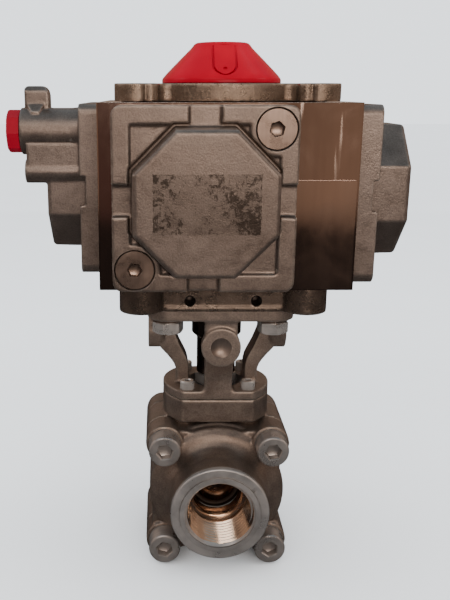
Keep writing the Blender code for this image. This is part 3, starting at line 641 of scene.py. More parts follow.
def valve_body():
    frame_ = pipe_end(0)
    solid = prism(lobed(), -JOINT_Y + 0.1, JOINT_Y - 0.1, frame_)
    add(
        solid,
        box(-10, 10, -JOINT_Y + 0.2, JOINT_Y - 0.2, 0.0, 12.0),
        prism(pad_outline(), PAD_Z0 - 0.3, PAD_Z1 + 0.1),
        lofted(
            [[(x * s, max(-lim, min(lim, y * s)), z) for x, y in pad_outline(PAD_R, PAD_Y)]
             for s, lim, z in ((0.80, JOINT_Y - 0.2, 50), (0.86, JOINT_Y - 0.2, 66), (0.93, JOINT_Y - 0.1, 70.4), (0.98, PAD_Y - 1.2, 71.3), (0.99, PAD_Y - 0.4, 73.0))],
        ),
    )
    skin(solid, 0.62, 4, "cast_steel")
    cut(solid, box(-60, 60, -60, 60, -40, 0.02), box(-60, 60, -60, 60, PAD_Z1 + 0.04, 120, mat="machined"))
    cut(
        solid,
        rod(20.0, -20, 20, 64, frame_, mat="machined"),
        turned([(0, 40), (8.5, 40), (8.5, 58.6), (6.4, 58.6), (6.4, 70.9), (9.5, 70.9), (9.5, 90), (0, 90)], 48, mat="machined"),
    )
    for sx in (-1, 1):
        for sy in (-1, 1):
            cut(solid, rod(5.3, -30, 30, 24, frame_ @ at(sx * LOBE_C, sy * LOBE_C), mat="machined"))
            cut(solid, rod(2.3, 72.0, 90, 16, at(sx * BASE_SCREW_X, sy * BASE_SCREW_Y), mat="machined"))
    return done(solid, "centre_section", "housing", ("valve_body",), angle=38)


def valve_insides():
    n = 64
    profile = [(BALL_R * math.sin(math.pi * i / n), -BALL_R * math.cos(math.pi * i / n)) for i in range(n + 1)]
    profile[0] = (0, -BALL_R)
    profile[-1] = (0, BALL_R)
    ball = turned(profile, 96, PIPE)
    cut(ball, rod(BORE_R, -30, 30, 72, PIPE @ turn(1) @ FRONT), box(-3.1, 3.1, -20, 20, BALL_Z + 14.4, BALL_Z + 25))
    done(ball, "polished_ball", "rotor", ("ball",), ("ball",), bevel=0.35, segments=3, angle=30)
    for k, word in ((0, "front"), (2, "rear")):
        seat = turned([(13.0, 17.7), (13.3, 18.0), (17.5, 18.0), (17.8, 17.7), (17.8, 11.7), (17.5, 11.4), (16.0, 11.4), (15.7, 11.6), (13.0, 14.95)], 96, pipe_end(k))
        done(seat, f"{word}_seat_ring", "housing", (f"{word}_seat",), ("polymer",), angle=25)
        gasket = ring(30.0, 32.6, JOINT_Y + 0.02, JOINT_Y + 0.28, 96, pipe_end(k))
        done(gasket, f"{word}_body_gasket", "housing", (), ("polymer",))
    stem = turned(
        [(0, 54.9), (7.7, 54.9), (8.0, 55.2), (8.0, 57.7), (7.7, 58.0), (6.0, 58.0), (6.0, 102.0), (5.5, 102.5), (0, 102.5)], 64)
    add(stem, box(-2.7, 2.7, -6.3, 6.3, BALL_Z + 14.8, 56.0))
    cut(stem, box(4.0, 9, -9, 9, 91.0, 110), box(-9, -4.0, -9, 9, 91.0, 110))
    done(stem, "stem_shaft", "rotor", ("stem",), ("machined_z",), bevel=0.2)
    packing = turned([(6.4, 71.2), (9.2, 71.2), (9.2, 77.0), (7.8, 76.3), (6.4, 77.0)], 64)
    done(packing, "packing_ring", "housing", ("stem_packing",), ("polymer",))
    gland = turned([(6.4, 77.5), (7.8, 76.9), (9.2, 77.5), (9.2, 82.8), (8.9, 83.0), (6.7, 83.0), (6.4, 82.8)], 64)
    done(gland, "gland_follower", "housing", ("gland_ring",), ("machined_z",))
    disc = turned([(6.6, 84.15), (10.3, 83.35), (10.4, 83.5), (10.4, 84.4), (10.3, 84.5), (6.7, 85.3), (6.6, 85.2)], 72)
    done(disc, "cone_washer", "housing", ("disc_spring",), ("spring",))
    nut = prism(hexagon(18.0), 85.6, 90.6)
    common(nut, turned([(0, 85.4), (9.4, 85.4), (10.6, 86.1), (10.6, 90.1), (9.4, 90.8), (0, 90.8)], 64))
    cut(nut, threaded_cutter(6.3, 6.9, 1.25, 84, 92, None, 40, None))
    done(nut, "gland_hex_nut", "housing", ("gland_nut",), ("bolt",), bevel=0.12)


def body_screws():
    frame_ = pipe_end(0)
    screw = turned(
        [(0, -24.4), (4.2, -24.4), (4.95, -23.6), (4.95, 25.2), (7.6, 25.2), (7.75, 25.4), (7.75, 33.9), (7.6, 34.5), (7.05, 35.0), (6.5, 35.1), (0, 35.1)],
        80, frame_)
    cut(screw, turned([(0, 29.2), (4.05, 30.6), (4.05, 34.6), (4.75, 35.3), (4.75, 40), (0, 40)], 6, frame_, math.radians(8)))
    names = (("upper_left", -1, 1), ("upper_right", 1, 1), ("lower_left", -1, -1), ("lower_right", 1, -1))
    screw.data.transform(Matrix.Translation((-LOBE_C, 0, LOBE_C)))
    first = done(screw, "socket_screw_upper_left", "housing", ("body_screw_upper_left",), ("screw",), bevel=0.18, angle=30)
    for i, (word, sx, sz) in enumerate(names[1:]):
        spin = PIPE @ Matrix.Rotation(math.radians((0, 23, 41)[i]), 4, "Y") @ PIPE.inverted()
        place = Matrix.Translation((sx * LOBE_C, 0, sz * LOBE_C)) @ spin @ Matrix.Translation((LOBE_C, 0, -LOBE_C))
        copy_of(first, f"socket_screw_{word}", "housing", place, (f"body_screw_{word}",))


# ------------------------------------------------------------------ the bracket
LEG_OUTER = [(20.2, 86.0), (20.35, 92.5), (20.7, 95.2), (21.6, 97.4), (23.2, 99.8), (25.2, 102.2), (27.4, 104.6), (29.0, 106.6), (29.5, 108.5), (29.6, 122.0), (30.4, 125.4), (32.0, 128.0)]
LEG_INNER = [(24.4, 128.0), (23.6, 123.0), (22.3, 117.6), (20.6, 112.2), (18.6, 107.2), (16.6, 103.3), (15.1, 100.2), (14.3, 97.4), (14.0, 94.5), (13.9, 86.0)]


def leg(k):
    frame_ = turn(k) @ Matrix(((0, 0, 1, 0), (-1, 0, 0, 0), (0, 1, 0, 0), (0, 0, 0, 1)))
    solid = prism(LEG_OUTER + LEG_INNER, -LEG_W, LEG_W, frame_)
    front = side(k)
    add(
        solid,
        turned([(0, 26.5), (BOSS_R - 1.0, 26.5), (BOSS_R, 28.5), (BOSS_R, BOSS_FACE), (0, BOSS_FACE)], 64, front @ at(0, BOSS_Z)),
        lofted([[(-7.9, BOSS_Z, t), (7.9, BOSS_Z, t), (7.6, 128.0, t), (-7.6, 128.0, t)] for t in (27.5, 33.4)], front),
        # The foot spreads where it joins the base flange.
        lofted([[(-LEG_W - e, z, 13.6 - e * 0.3), (LEG_W + e, z, 13.6 - e * 0.3), (LEG_W + e, z, 20.25), (-LEG_W - e, z, 20.25)] for e, z in ((1.3, 86.9), (0.5, 87.9), (0.0, 89.2))], front),
    )
    return solid


def bracket():
    solid = prism(pad_outline(), BASE_Z0 - 0.12, BASE_Z1)
    for k in range(4):
        add(solid, leg(k))
    plate = prism(rounded(PLATE_H, PLATE_H, 9.5, 10), PLATE_Z0, PLATE_Z1 - 0.05)
    add(solid, plate)
    for sx in (-1, 1):
        for sy in (-1, 1):
            add(solid, turned([(0, 126.0), (8.4, 126.0), (9.4, 127.2), (9.4, 130), (0, 130)], 48, at(sx * BOLT_XY, sy * BOLT_XY)))
    skin(solid, 0.6, 5, "cast_bracket")
    cut(
        solid,
        box(-60, 60, -60, 60, PLATE_Z1 - 0.08, 160, mat="machined"),
        box(-60, 60, -60, 60, 60, BASE_Z0 - 0.14, mat="machined"),
        rod(13.4, 80, 90, 64, mat="machined"),
        rod(20.0, 120, 140, 80, mat="machined"),
    )
    for k in range(4):
        cut(solid, turned([(0, BOSS_FACE - 2.6), (4.6, BOSS_FACE - 0.3), (4.9, BOSS_FACE), (4.9, 40), (0, 40)], 64, side(k) @ at(0, BOSS_Z), mat="milled"))
    for sx in (-1, 1):
        for sy in (-1, 1):
            cut(
                solid,
                rod(2.3, 80, 90, 20, at(sx * BASE_SCREW_X, sy * BASE_SCREW_Y), mat="machined"),
                rod(3.9, BASE_Z1 - 0.25, BASE_Z1 + 3, 40, at(sx * BASE_SCREW_X, sy * BASE_SCREW_Y), mat="machined"),
                rod(4.4, 120, 140, 32, at(sx * BOLT_XY, sy * BOLT_XY), mat="machined"),
            )
    done(solid, "cast_bracket", "housing", ("mounting_bracket",), angle=38)


def bracket_screws():
    teeth = 40
    knurl = []
    for i in range(teeth * 2):
        a = math.pi * i / teeth
        r = 3.5 if i % 2 else 3.34
        knurl.append((r * math.cos(a), r * math.sin(a)))
    head = prism(knurl, 87.1, 91.5)
    common(head, turned([(0, 87.0), (3.35, 87.0), (3.55, 87.3), (3.55, 90.8), (3.0, 91.45), (0, 91.6)], 48))
    add(head, turned([(0, 73.0), (1.7, 73.0), (2.0, 73.4), (2.0, 87.6), (0, 87.6)], 24))
    # The socket walls take the near-black hole metal: painted shade.
    cut(head, turned([(0, 88.9), (1.7, 89.5), (1.7, 91.2), (2.0, 91.6), (2.0, 95), (0, 95)], 6, None, 0.2, mat="painted_shade_hole"))
    head.data.transform(Matrix.Translation((-BASE_SCREW_X, -BASE_SCREW_Y, 0)))
    first = done(head, "knurled_screw_front_left", "housing", ("base_screw_front_left",), ("bolt",), angle=28)
    bolt = prism(hexagon(13.0, math.radians(12)), 119.0, 124.4)
    common(bolt, turned([(0, 118.9), (6.0, 118.9), (7.6, 119.9), (7.6, 124.5), (0, 124.5)], 72))
    add(bolt, turned([(0, 123.6), (6.1, 123.6), (6.1, 125.6), (4.0, 125.6), (4.0, 143.6), (3.4, 144.0), (0, 144.0)], 48))
    bolt.data.transform(Matrix.Translation((-BOLT_XY, -BOLT_XY, 0)))
    bolt_one = done(bolt, "hex_bolt_front_left", "housing", ("bracket_bolt_front_left",), ("bolt",), bevel=0.15, angle=28)
    # A split spring washer above each head.
    pts, n = [], 72
    rings = []
    for i in range(n + 1):
        a = math.radians(6) + math.radians(348) * i / n
        lift = 0.45 * i / n
        rings.append([(r * math.cos(a), r * math.sin(a), z + lift) for r, z in ((4.3, 124.65), (7.2, 124.65), (7.2, 125.75), (4.3, 125.75))])
    washer = lofted(rings)
    common(washer, box(-9, 9, -9, 9, 124.6, 126.15))
    washer.data.transform(Matrix.Translation((-BOLT_XY, -BOLT_XY, 0)))
    washer_one = done(washer, "spring_washer_front_left", "housing", (), ("screw_dark",), bevel=0.1, angle=28)
    for i, (name, sx, sy) in enumerate(CORNERS[1:]):
        small = at((sx + 1) * BASE_SCREW_X, (sy + 1) * BASE_SCREW_Y)
        spin = at(sx * BOLT_XY, sy * BOLT_XY) @ Matrix.Rotation(math.radians((29, 11, 47)[i]), 4, "Z") @ at(BOLT_XY, BOLT_XY)
        copy_of(first, f"knurled_screw_{name}", "housing", small, (f"base_screw_{name}",))
        copy_of(bolt_one, f"hex_bolt_{name}", "housing", spin, (f"bracket_bolt_{name}",))
        copy_of(washer_one, f"spring_washer_{name}", "housing", spin, ())


def coupling():
    solid = turned(
        [(0, 91.4), (9.3, 91.4), (9.75, 91.8), (9.75, 109.6), (10.3, 110.6), (11.9, 112.0), (12.35, 112.6), (12.35, 130.0), (11.9, 130.5), (0, 130.5)], 96)
    add(solid, box(-5.5, 5.5, -5.5, 5.5, 129.0, 149.0))
    socket = rod(6.6, 80, 103.0, 48)
    common(socket, box(-4.3, 4.3, -10, 10, 70, 110))
    cut(solid, socket, ring(9.35, 14, 99.0, 99.8, 96))
    done(solid, "drive_coupling", "rotor", ("coupling",), ("shaft",), bevel=0.25)


# ------------------------------------------------------------------ the actuator
def bottom_cover():
    quarter = arc(37.0, 37.0, 10.0, -72.5, 162.5, 36)
    low = prism(four_fold(quarter), LOW_Z0, LOW_Z1)
    # A shallow ledge: the lower part of the middle stands a little proud of the upper one.
    for k in range(4):
        add(low, box(-26.0, 26.0, LOW_Z0, LOW_Z0 + 2.2, 30, 40.5, side(k)))
    # The lower cover takes the darker copy of the cover casting: painted shade.
    skin(low, 0.6, 4, "cast_cover_painted_shade")
    cut(low, box(-60, 60, -60, 60, LOW_Z1 - 0.05, 160, mat="milled"), box(-60, 60, -60, 60, 120, LOW_Z0 + 0.02, mat="milled"))
    cut(low, rod(13.4, 120, 150, 64, mat="machined"))
    for sx in (-1, 1):
        for sy in (-1, 1):
            cut(low, rod(4.4, 120, 144.8, 28, at(sx * BOLT_XY, sy * BOLT_XY), mat="machined"))
            cut(low, turned([(0, 120), (5.0, 120), (5.0, 137.2), (0, 137.2)], 40, at(sx * 39.0, sy * 39.0), mat="machined"))
    for k in (0, 2):
        for sx in (-1, 1):
            # The tapped holes take the near-black hole metal: painted shade.
            cut(low, turned([(0, 30.0), (1.9, 31.2), (1.9, 39.0), (2.55, 39.9), (2.7, 40.5), (2.7, 45), (0, 45)], 40, side(k) @ at(sx * 15.0, 137.8), mat="painted_shade_hole"))
    done(low, "lower_cover", "housing", ("bottom_cover",), angle=38)
    screw = turned([(0, 133.3), (4.0, 133.3), (4.4, 133.7), (4.4, 137.0), (0, 137.0)], 48)
    cut(screw, turned([(0, 136.0), (2.0, 135.4), (2.0, 133.5), (2.3, 133.2), (2.3, 130), (0, 130)], 6))
    screw.data.transform(Matrix.Translation((-39.0, -39.0, 0)))
    first = done(screw, "lower_screw_front_left", "housing", (), ("bolt",), bevel=0.12)
    for name, sx, sy in CORNERS[1:]:
        copy_of(first, f"lower_screw_{name}", "housing", at((sx + 1) * 39.0, (sy + 1) * 39.0), ())


def top_cover():
    swell = [(40.4, 26.2), (40.9, 27.6), (42.1, 28.9), (44.0, 29.3), (45.7, 30.3), (46.5, 32.2), (46.3, 33.9), (45.7, 34.9)]
    quarter = arc(0, 0, 47.0, -30.5, 30.5, 30) + swell
    quarter += arc(38.4, 38.4, 9.6, -15, 105, 24) + [(y, x) for x, y in swell[::-1]]
    top = prism(four_fold(quarter), TOP_Z0, TOP_Z1)
    skin(top, 0.55, 5, "cast_cover")
    cut(top, box(-60, 60, -60, 60, 200, TOP_Z0 + 0.03, mat="milled"))
    cut(top, rod(9.9, 200, 250, 64, mat="machined"))
    # A shallow recess that the indicator turns in.
    cut(top, rod(28.6, TOP_Z1 - 0.7, 250, 96, mat="milled"))
    for sx in (-1, 1):
        for sy in (-1, 1):
            cut(top, turned([(0, 220), (2.9, 220), (2.9, 228.6), (5.6, 231.3), (5.6, 235), (0, 235)], 40, at(sx * 39.5, sy * 39.5), mat="machined"))
    done(top, "upper_cover", "housing", ("top_cover",), angle=38)
    screw = turned([(0, 219.8), (2.1, 219.8), (2.5, 220.2), (2.5, 228.9), (5.0, 231.3), (5.15, 231.6), (5.15, 231.9), (0, 231.9)], 56)
    cut(screw, turned([(0, 229.2), (1.75, 229.8), (1.75, 231.6), (1.95, 232.0), (1.95, 240), (0, 240)], 6, None, 0.3))
    screw.data.transform(Matrix.Translation((-39.5, -39.5, 0)))
    first = done(screw, "cover_screw_front_left", "housing", ("top_screw_front_left",), ("screw",), bevel=0.12)
    for i, (name, sx, sy) in enumerate(CORNERS[1:]):
        spin = at(sx * 39.5, sy * 39.5) @ Matrix.Rotation(0.4 + i, 4, "Z") @ at(39.5, 39.5)
        copy_of(first, f"cover_screw_{name}", "housing", spin, (f"top_screw_{name}",))


def actuator_body():
    solid = prism(rounded(BODY_H, BODY_H, 0.9, 4), BODY_Z0, BODY_Z1)
    cut(solid, box(-21.9, 21.9, -21.9, 21.9, CYL_Z - 22.3, CYL_Z + 22.3), rod(13.4, 140, 170, 64), rod(12.0, 200, 230, 64))
    for k in range(4):
        frame_ = side(k)
        cut(solid, rod(CYL_R, 20.4, 60, 96, frame_ @ at(-OFFSET, CYL_Z)))
        for sx, sy in DIAGONAL[k]:
            cut(solid, rod(4.4, 38.5, 60, 28, frame_ @ at(-OFFSET + sx * CAP_SCREW, CYL_Z + sy * CAP_SCREW)))
    for sx in (-1, 1):
        for sy in (-1, 1):
            cut(solid, rod(2.8, 219.4, 230, 20, at(sx * 39.5, sy * 39.5)))
    done(solid, "square_body", "housing", ("actuator_body",), ("polished",), bevel=0.45, segments=3, angle=30, rim="rim")


def cap_cast(k, voxel=0.5):
    frame_ = side(k) @ at(-OFFSET, CYL_Z)
    solid = prism(rounded(CAP_S, CAP_S, 4.2, 8), CAP_T0 - 1, CAP_T1, frame_)
    # The pocket inside the corner bands, left standing where a screw sits.
    pocket = prism(rounded(30.6, 30.6, 1.0, 2), CAP_T1 - 1.0, CAP_T1 + 6, frame_)
    for sx, sy in DIAGONAL[k]:
        cut(pocket, rod(11.2, CAP_T1 - 4, CAP_T1 + 9, 40, frame_ @ at(sx * (CAP_SCREW + 0.5), sy * (CAP_SCREW + 0.5))))
    cut(solid, pocket)
    for q in range(4):
        spin = Matrix.Rotation(math.radians(90 * q), 4, "Z")
        groove = lofted(
            [[(-w, OCT - 3, t), (w, OCT - 3, t), (w + 0.5, 45, t), (-w - 0.5, 45, t)] for w, t in ((6.2, CAP_T1 - 2.7), (6.9, CAP_T1 + 5))],
            frame_ @ spin)
        cut(solid, groove)
    cut(solid, prism(octagon(OCT + 1.9), CAP_T1 - 2.3, CAP_T1 + 5, frame_))
    rings = []
    for half, t in ((OCT + 0.35, CAP_T0 + 2), (OCT + 0.1, CAP_T1), (OCT - 0.15, OCT_T1 - 1.7), (OCT - 0.55, OCT_T1 - 0.8), (OCT - 1.5, OCT_T1 - 0.05)):
        rings.append([(x, y, t) for x, y in octagon(half)])
    add(solid, lofted(rings, frame_))
    return solid, frame_


def cap_finish(solid, k, frame_, name, node, mat):
    cut(solid, box(-60, 60, -60, 60, 30, CAP_T0 + 0.02, frame_, mat="milled"))
    cut(solid, turned([(0, 50), (CAVITY_R, 50), (CAVITY_R, CAVITY_T - 0.6), (CAVITY_R - 0.6, CAVITY_T), (0, CAVITY_T)], 72, frame_, mat="milled"))
    for sx, sy in DIAGONAL[k]:
        cut(
            solid,
            turned([(0, 50), (4.4, 50), (4.4, 59.4), (8.55, 63.4), (8.55, 64.5), (8.8, CAP_T1), (8.8, 70), (0, 70)], 72,
                   frame_ @ at(sx * CAP_SCREW, sy * CAP_SCREW), mat="milled"),
        )
    return done(solid, name, "housing", (node,), angle=38)


def caps():
    solid, frame_ = cap_cast(0)
    skin(solid, 0.5, 4, "cast_alloy_front")
    front = cap_finish(solid, 0, frame_, "front_end_cover", "front_cap", "cast_alloy_front")
    for k, name in ((1, "right"), (2, "rear")):
        copy_of(front, f"{name}_end_cover", "housing", turn(k), (f"{name}_cap",), ("cast_alloy",))
    solid, frame_ = cap_cast(3)
    view_ = side(3)
    back = Matrix(((-1, 0, 0, 0), (0, 0, 1, 0), (0, 1, 0, 0), (0, 0, 0, 1)))
    add(
        solid,
        turned([(0, 60), (PORT_R + 0.6, 60), (PORT_R + 0.3, CAP_T1 + 1), (PORT_R, CAP_T1 + 4), (PORT_R, PORT_T), (0, PORT_T)], 64, view_ @ at(PORT_Y, PORT_Z)),
        turned([(0, 60), (SMALL_R, 60), (SMALL_R, SMALL_T), (0, SMALL_T)], 48, view_ @ at(SMALL_Y, SMALL_Z)),
        # The web between the two bosses is flat at the front, just behind both rounds.
        box(6.4, SMALL_Y + SMALL_R - 0.6, SMALL_Z, 206.0, 60, SMALL_T - 0.9, view_),
        prism([(78.9, 218.0), (90.1, 218.0), (90.1, 230.3), (88.9, 231.3), (82.0, 231.3), (80.4, 230.6), (79.2, 229.0), (78.9, 227.0)], -13.9, -5.4, back),
        box(-6.0, 8.0, 190.0, 214.0, 60, 79.0, view_),
    )
    # The lug leans back above its front edge and runs out over the boss in a small tongue.
    cut(solid, lofted([[(-93, -14.6, 228.4), (-93, -10.8, 232.4), (-93, -16.0, 234.0)], [(-76, -14.6, 228.4), (-76, -10.8, 232.4), (-76, -16.0, 234.0)]]))
    add(solid, lofted([
        [(-89.6, -13.0, 224.4), (-80.6, -13.0, 224.4), (-80.6, -10.0, 216.0), (-89.6, -10.0, 216.0)],
        [(-86.6, -17.6, 219.9), (-83.2, -17.6, 219.9), (-83.2, -12.0, 214.0), (-86.6, -12.0, 214.0)],
    ]))
    skin(solid, 0.5, 4, "cast_alloy")
    cut(solid, turned([(0, 66.5), (5.8, 66.5), (6.3, 67.5), (6.3, PORT_T - 1.2), (7.2, PORT_T - 0.2), (7.2, 100), (0, 100)], 64, view_ @ at(PORT_Y, PORT_Z), mat="machined"))
    cut(solid, rod(1.6, -20, 0, 24, Matrix.Translation((-84.4, 0, 227.0)) @ Matrix.Rotation(math.radians(90), 4, "X") @ at(0, 0, 10), mat="machined"))
    cap_finish(solid, 3, frame_, "port_end_cover", "left_port_cap", "cast_alloy")
    # Eight-sided plug with a chamfered rim and a dished end.
    plug = prism(circle(9.7, 8, 0, 0, math.radians(-4)), PORT_T + 0.35, 98.2, view_ @ at(PORT_Y, PORT_Z))
    common(plug, turned([(0, PORT_T + 0.2), (9.5, PORT_T + 0.2), (9.9, PORT_T + 0.7), (9.9, 97.0), (9.3, 98.25), (0, 98.25)], 80, view_ @ at(PORT_Y, PORT_Z)))
    cut(plug, turned([(0, 96.0), (5.6, 96.0), (6.2, 96.6), (6.5, 98.5), (6.5, 100), (0, 100)], 48, view_ @ at(PORT_Y, PORT_Z)))
    add(plug, turned([(0, 79.0), (5.4, 79.0), (5.8, 79.6), (5.8, PORT_T + 1), (0, PORT_T + 1)], 48, view_ @ at(PORT_Y, PORT_Z)))
    done(plug, "transport_plug", "housing", ("port_plug",), ("red_plug",), bevel=0.3, segments=3, angle=24)
    # Countersunk cap screws.
    screw = turned(
        [(0, 40.0), (3.5, 40.0), (4.0, 40.6), (4.0, 59.9), (7.9, 63.8), (8.1, 64.1), (8.1, 64.35), (7.95, 64.5), (0, 64.5)], 80, FRONT)
    cut(screw, turned([(0, 60.6), (2.9, 61.4), (2.9, 64.0), (3.4, 64.6), (3.4, 70), (0, 70)], 6, FRONT, 0.3))
    place0 = Matrix.Translation((-OFFSET + CAP_SCREW, 0, CYL_Z + CAP_SCREW))
    screw.data.transform(place0)
    first = done(screw, "flat_screw_front_upper", "housing", ("cap_screw_front_upper",), ("screw_dark",), bevel=0.12, angle=28)
    count = 0
    for k in range(4):
        for (sx, sy), word in zip(DIAGONAL[k], ("upper", "lower")):
            if k == 0 and word == "upper":
                continue
            count += 1
            place = turn(k) @ Matrix.Translation((-OFFSET + sx * CAP_SCREW, 0, CYL_Z + sy * CAP_SCREW)) @ Matrix.Rotation(0.37 * count, 4, "Y") @ place0.inverted()
            copy_of(first, f"flat_screw_{SIDES[k]}_{word}", "housing", place, (f"cap_screw_{SIDES[k]}_{word}",))
    # Thin gaskets between the caps and the body.
    for k in range(4):
        gasket = prism(rounded(37.2, 37.2, 3.6, 6), BODY_H + 0.02, BODY_H + 0.26, side(k) @ at(-OFFSET, CYL_Z))
        cut(gasket, rod(CYL_R + 0.2, 50, 60, 72, side(k) @ at(-OFFSET, CYL_Z)))
        for sx, sy in DIAGONAL[k]:
            cut(gasket, rod(4.6, 50, 60, 24, side(k) @ at(-OFFSET + sx * CAP_SCREW, CYL_Z + sy * CAP_SCREW)))
        done(gasket, f"{SIDES[k]}_cap_gasket", "housing", (), ("gasket",))


def involute_tooth(n=8):
    pitch_r = MODULE * TEETH / 2
    base_r = pitch_r * math.cos(PRESSURE)
    tip_r, root_r = pitch_r + ADD, pitch_r - DED
    inv = math.tan(PRESSURE) - PRESSURE
    half_pitch = math.pi / (2 * TEETH) - 0.14 / (2 * pitch_r)
    points = [(root_r, half_pitch + inv + 0.05), (root_r + 0.25, half_pitch + inv + 0.01)]
    for i in range(n + 1):
        r = base_r + (tip_r - base_r) * i / n
        a = math.acos(min(1.0, base_r / r))
        points.append((r, half_pitch + inv - (math.tan(a) - a)))
    return points


def pinion():
    flank = involute_tooth()
    outline = []
    for tooth in range(TEETH):
        middle = 2 * math.pi * tooth / TEETH
        outline += [(r * math.cos(middle - a), r * math.sin(middle - a)) for r, a in flank]
        outline += [(r * math.cos(middle + a), r * math.sin(middle + a)) for r, a in flank[::-1]]
    solid = prism(outline, 166.0, 205.2)
    add(
        solid,
        turned([(0, 133.0), (10.6, 133.0), (11.0, 133.4), (11.0, 164.5), (8.6, 167.0), (0, 167.0)], 72),
        turned([(0, 204.0), (8.6, 204.0), (9.5, 207.0), (9.5, 235.6), (9.1, 236.0), (0, 236.0)], 72),
        box(-5.0, 5.0, -5.0, 5.0, 235.0, 241.5),
    )
    cut(solid, box(-5.8, 5.8, -5.8, 5.8, 120, 151.0), rod(1.7, 228, 250, 24), ring(10.2, 14, 147.0, 149.4, 72), ring(8.7, 12, 226.4, 228.6, 72))
    done(solid, "drive_pinion", "rotor", ("pinion",), ("machined_z",), bevel=0.12)
    for name, r, z in (("lower_pinion_seal", 10.25, 148.2), ("upper_pinion_seal", 8.75, 227.5)):
        prof = arc(r + 0.62, z, 0.62 if "upper" in name else 0.75, 0, 345, 15)
        done(turned(prof, 64), name, "rotor", (), ("seal",), angle=60)
    done(turned([(11.4, 133.2), (12.9, 133.2), (13.1, 133.4), (13.1, 144.8), (12.9, 145.0), (11.4, 145.0)], 72), "lower_bearing", "housing", ("lower_bushing",), ("gasket",))
    done(turned([(9.9, 213.9), (11.6, 213.9), (11.7, 214.1), (11.7, 224.1), (11.6, 224.3), (9.9, 224.3)], 72), "upper_bearing", "housing", ("upper_bushing",), ("gasket",))


def rack_outline(shift):
    pitch = math.pi * MODULE
    half = pitch / 4 - 0.07
    tan = math.tan(PRESSURE)
    root, tip = -OFFSET - DED, -OFFSET + ADD
    points = [(-19.0, -21.4), (root, -21.4)]
    for n in range(-6, 7):
        c = (n + shift) * pitch
        if c - 2.0 < -21.4 or c + 2.0 > PISTON_T0 - 0.5:
            continue
        points += [(root, c - half - DED * tan), (tip, c - half + ADD * tan), (tip, c + half - ADD * tan), (root, c + half + DED * tan)]
    points += [(root, PISTON_T0 + 1), (-19.0, PISTON_T0 + 1)]
    return points


def pistons_and_springs():
    for k in range(4):
        word = SIDES[k]
        frame_ = side(k) @ at(-OFFSET, CYL_Z)
        crown = turned(
            [(0, 22.0), (27.2, 22.0), (27.6, 22.4), (27.6, 26.0), (25.2, 26.0), (25.2, 29.4), (27.6, 29.4), (27.6, 33.6), (27.2, 34.0),
             (20.6, 34.0), (20.6, 33.6), (15.4, 33.6), (15.4, 34.0), (14.0, 34.0), (13.4, 31.0), (0, 31.0)], 96, frame_)
        y0, y1 = (CYL_Z + 1.2, CYL_Z + 18.0) if k % 2 == 0 else (CYL_Z - 18.0, CYL_Z - 1.2)
        plane = side(k) @ Matrix(((1, 0, 0, 0), (0, 0, 1, 0), (0, 1, 0, 0), (0, 0, 0, 1)))
        rack = prism(rack_outline(0.5 if k % 2 == 0 else 0.0), y0, y1, plane)
        bm = bmesh.new()
        bm.from_mesh(rack.data)
        bmesh.ops.recalc_face_normals(bm, faces=bm.faces)
        bm.to_mesh(rack.data)
        bm.free()
        add(crown, rack)
        done(crown, f"{word}_rack_piston", f"{word}_piston_body", (f"{word}_piston",), ("piston",), bevel=0.15)
        done(turned(arc(26.55, 27.7, 1.32, 0, 348, 18), 96, frame_), f"{word}_piston_seal", f"{word}_piston_body", (), ("seal",), angle=60)
        low, high = PISTON_T1 + 0.25 + WIRE_R, CAVITY_T - 0.25 - WIRE_R
        per, sides_ = 40, 14
        total = int((COILS + 1.5) * per)
        rings = []
        for i in range(total + 1):
            u = i / per
            a = 2 * math.pi * u
            turns = COILS + 1.5
            # The end coils are closed, the ones between them are evenly open.
            f = min(1.0, max(0.0, (u - 0.75) / (turns - 1.5)))
            z = low + (high - low) * f
            rings.append([((SPRING_R + WIRE_R * math.cos(b)) * math.cos(a), (SPRING_R + WIRE_R * math.cos(b)) * math.sin(a), z + WIRE_R * math.sin(b)) for b in [2 * math.pi * j / sides_ for j in range(sides_)]])
        spring = lofted(rings, frame_)
        piece = done(spring, f"{word}_coil_spring", "housing", (f"{word}_spring",), ("spring",), angle=60, weighted=False)
        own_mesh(piece)


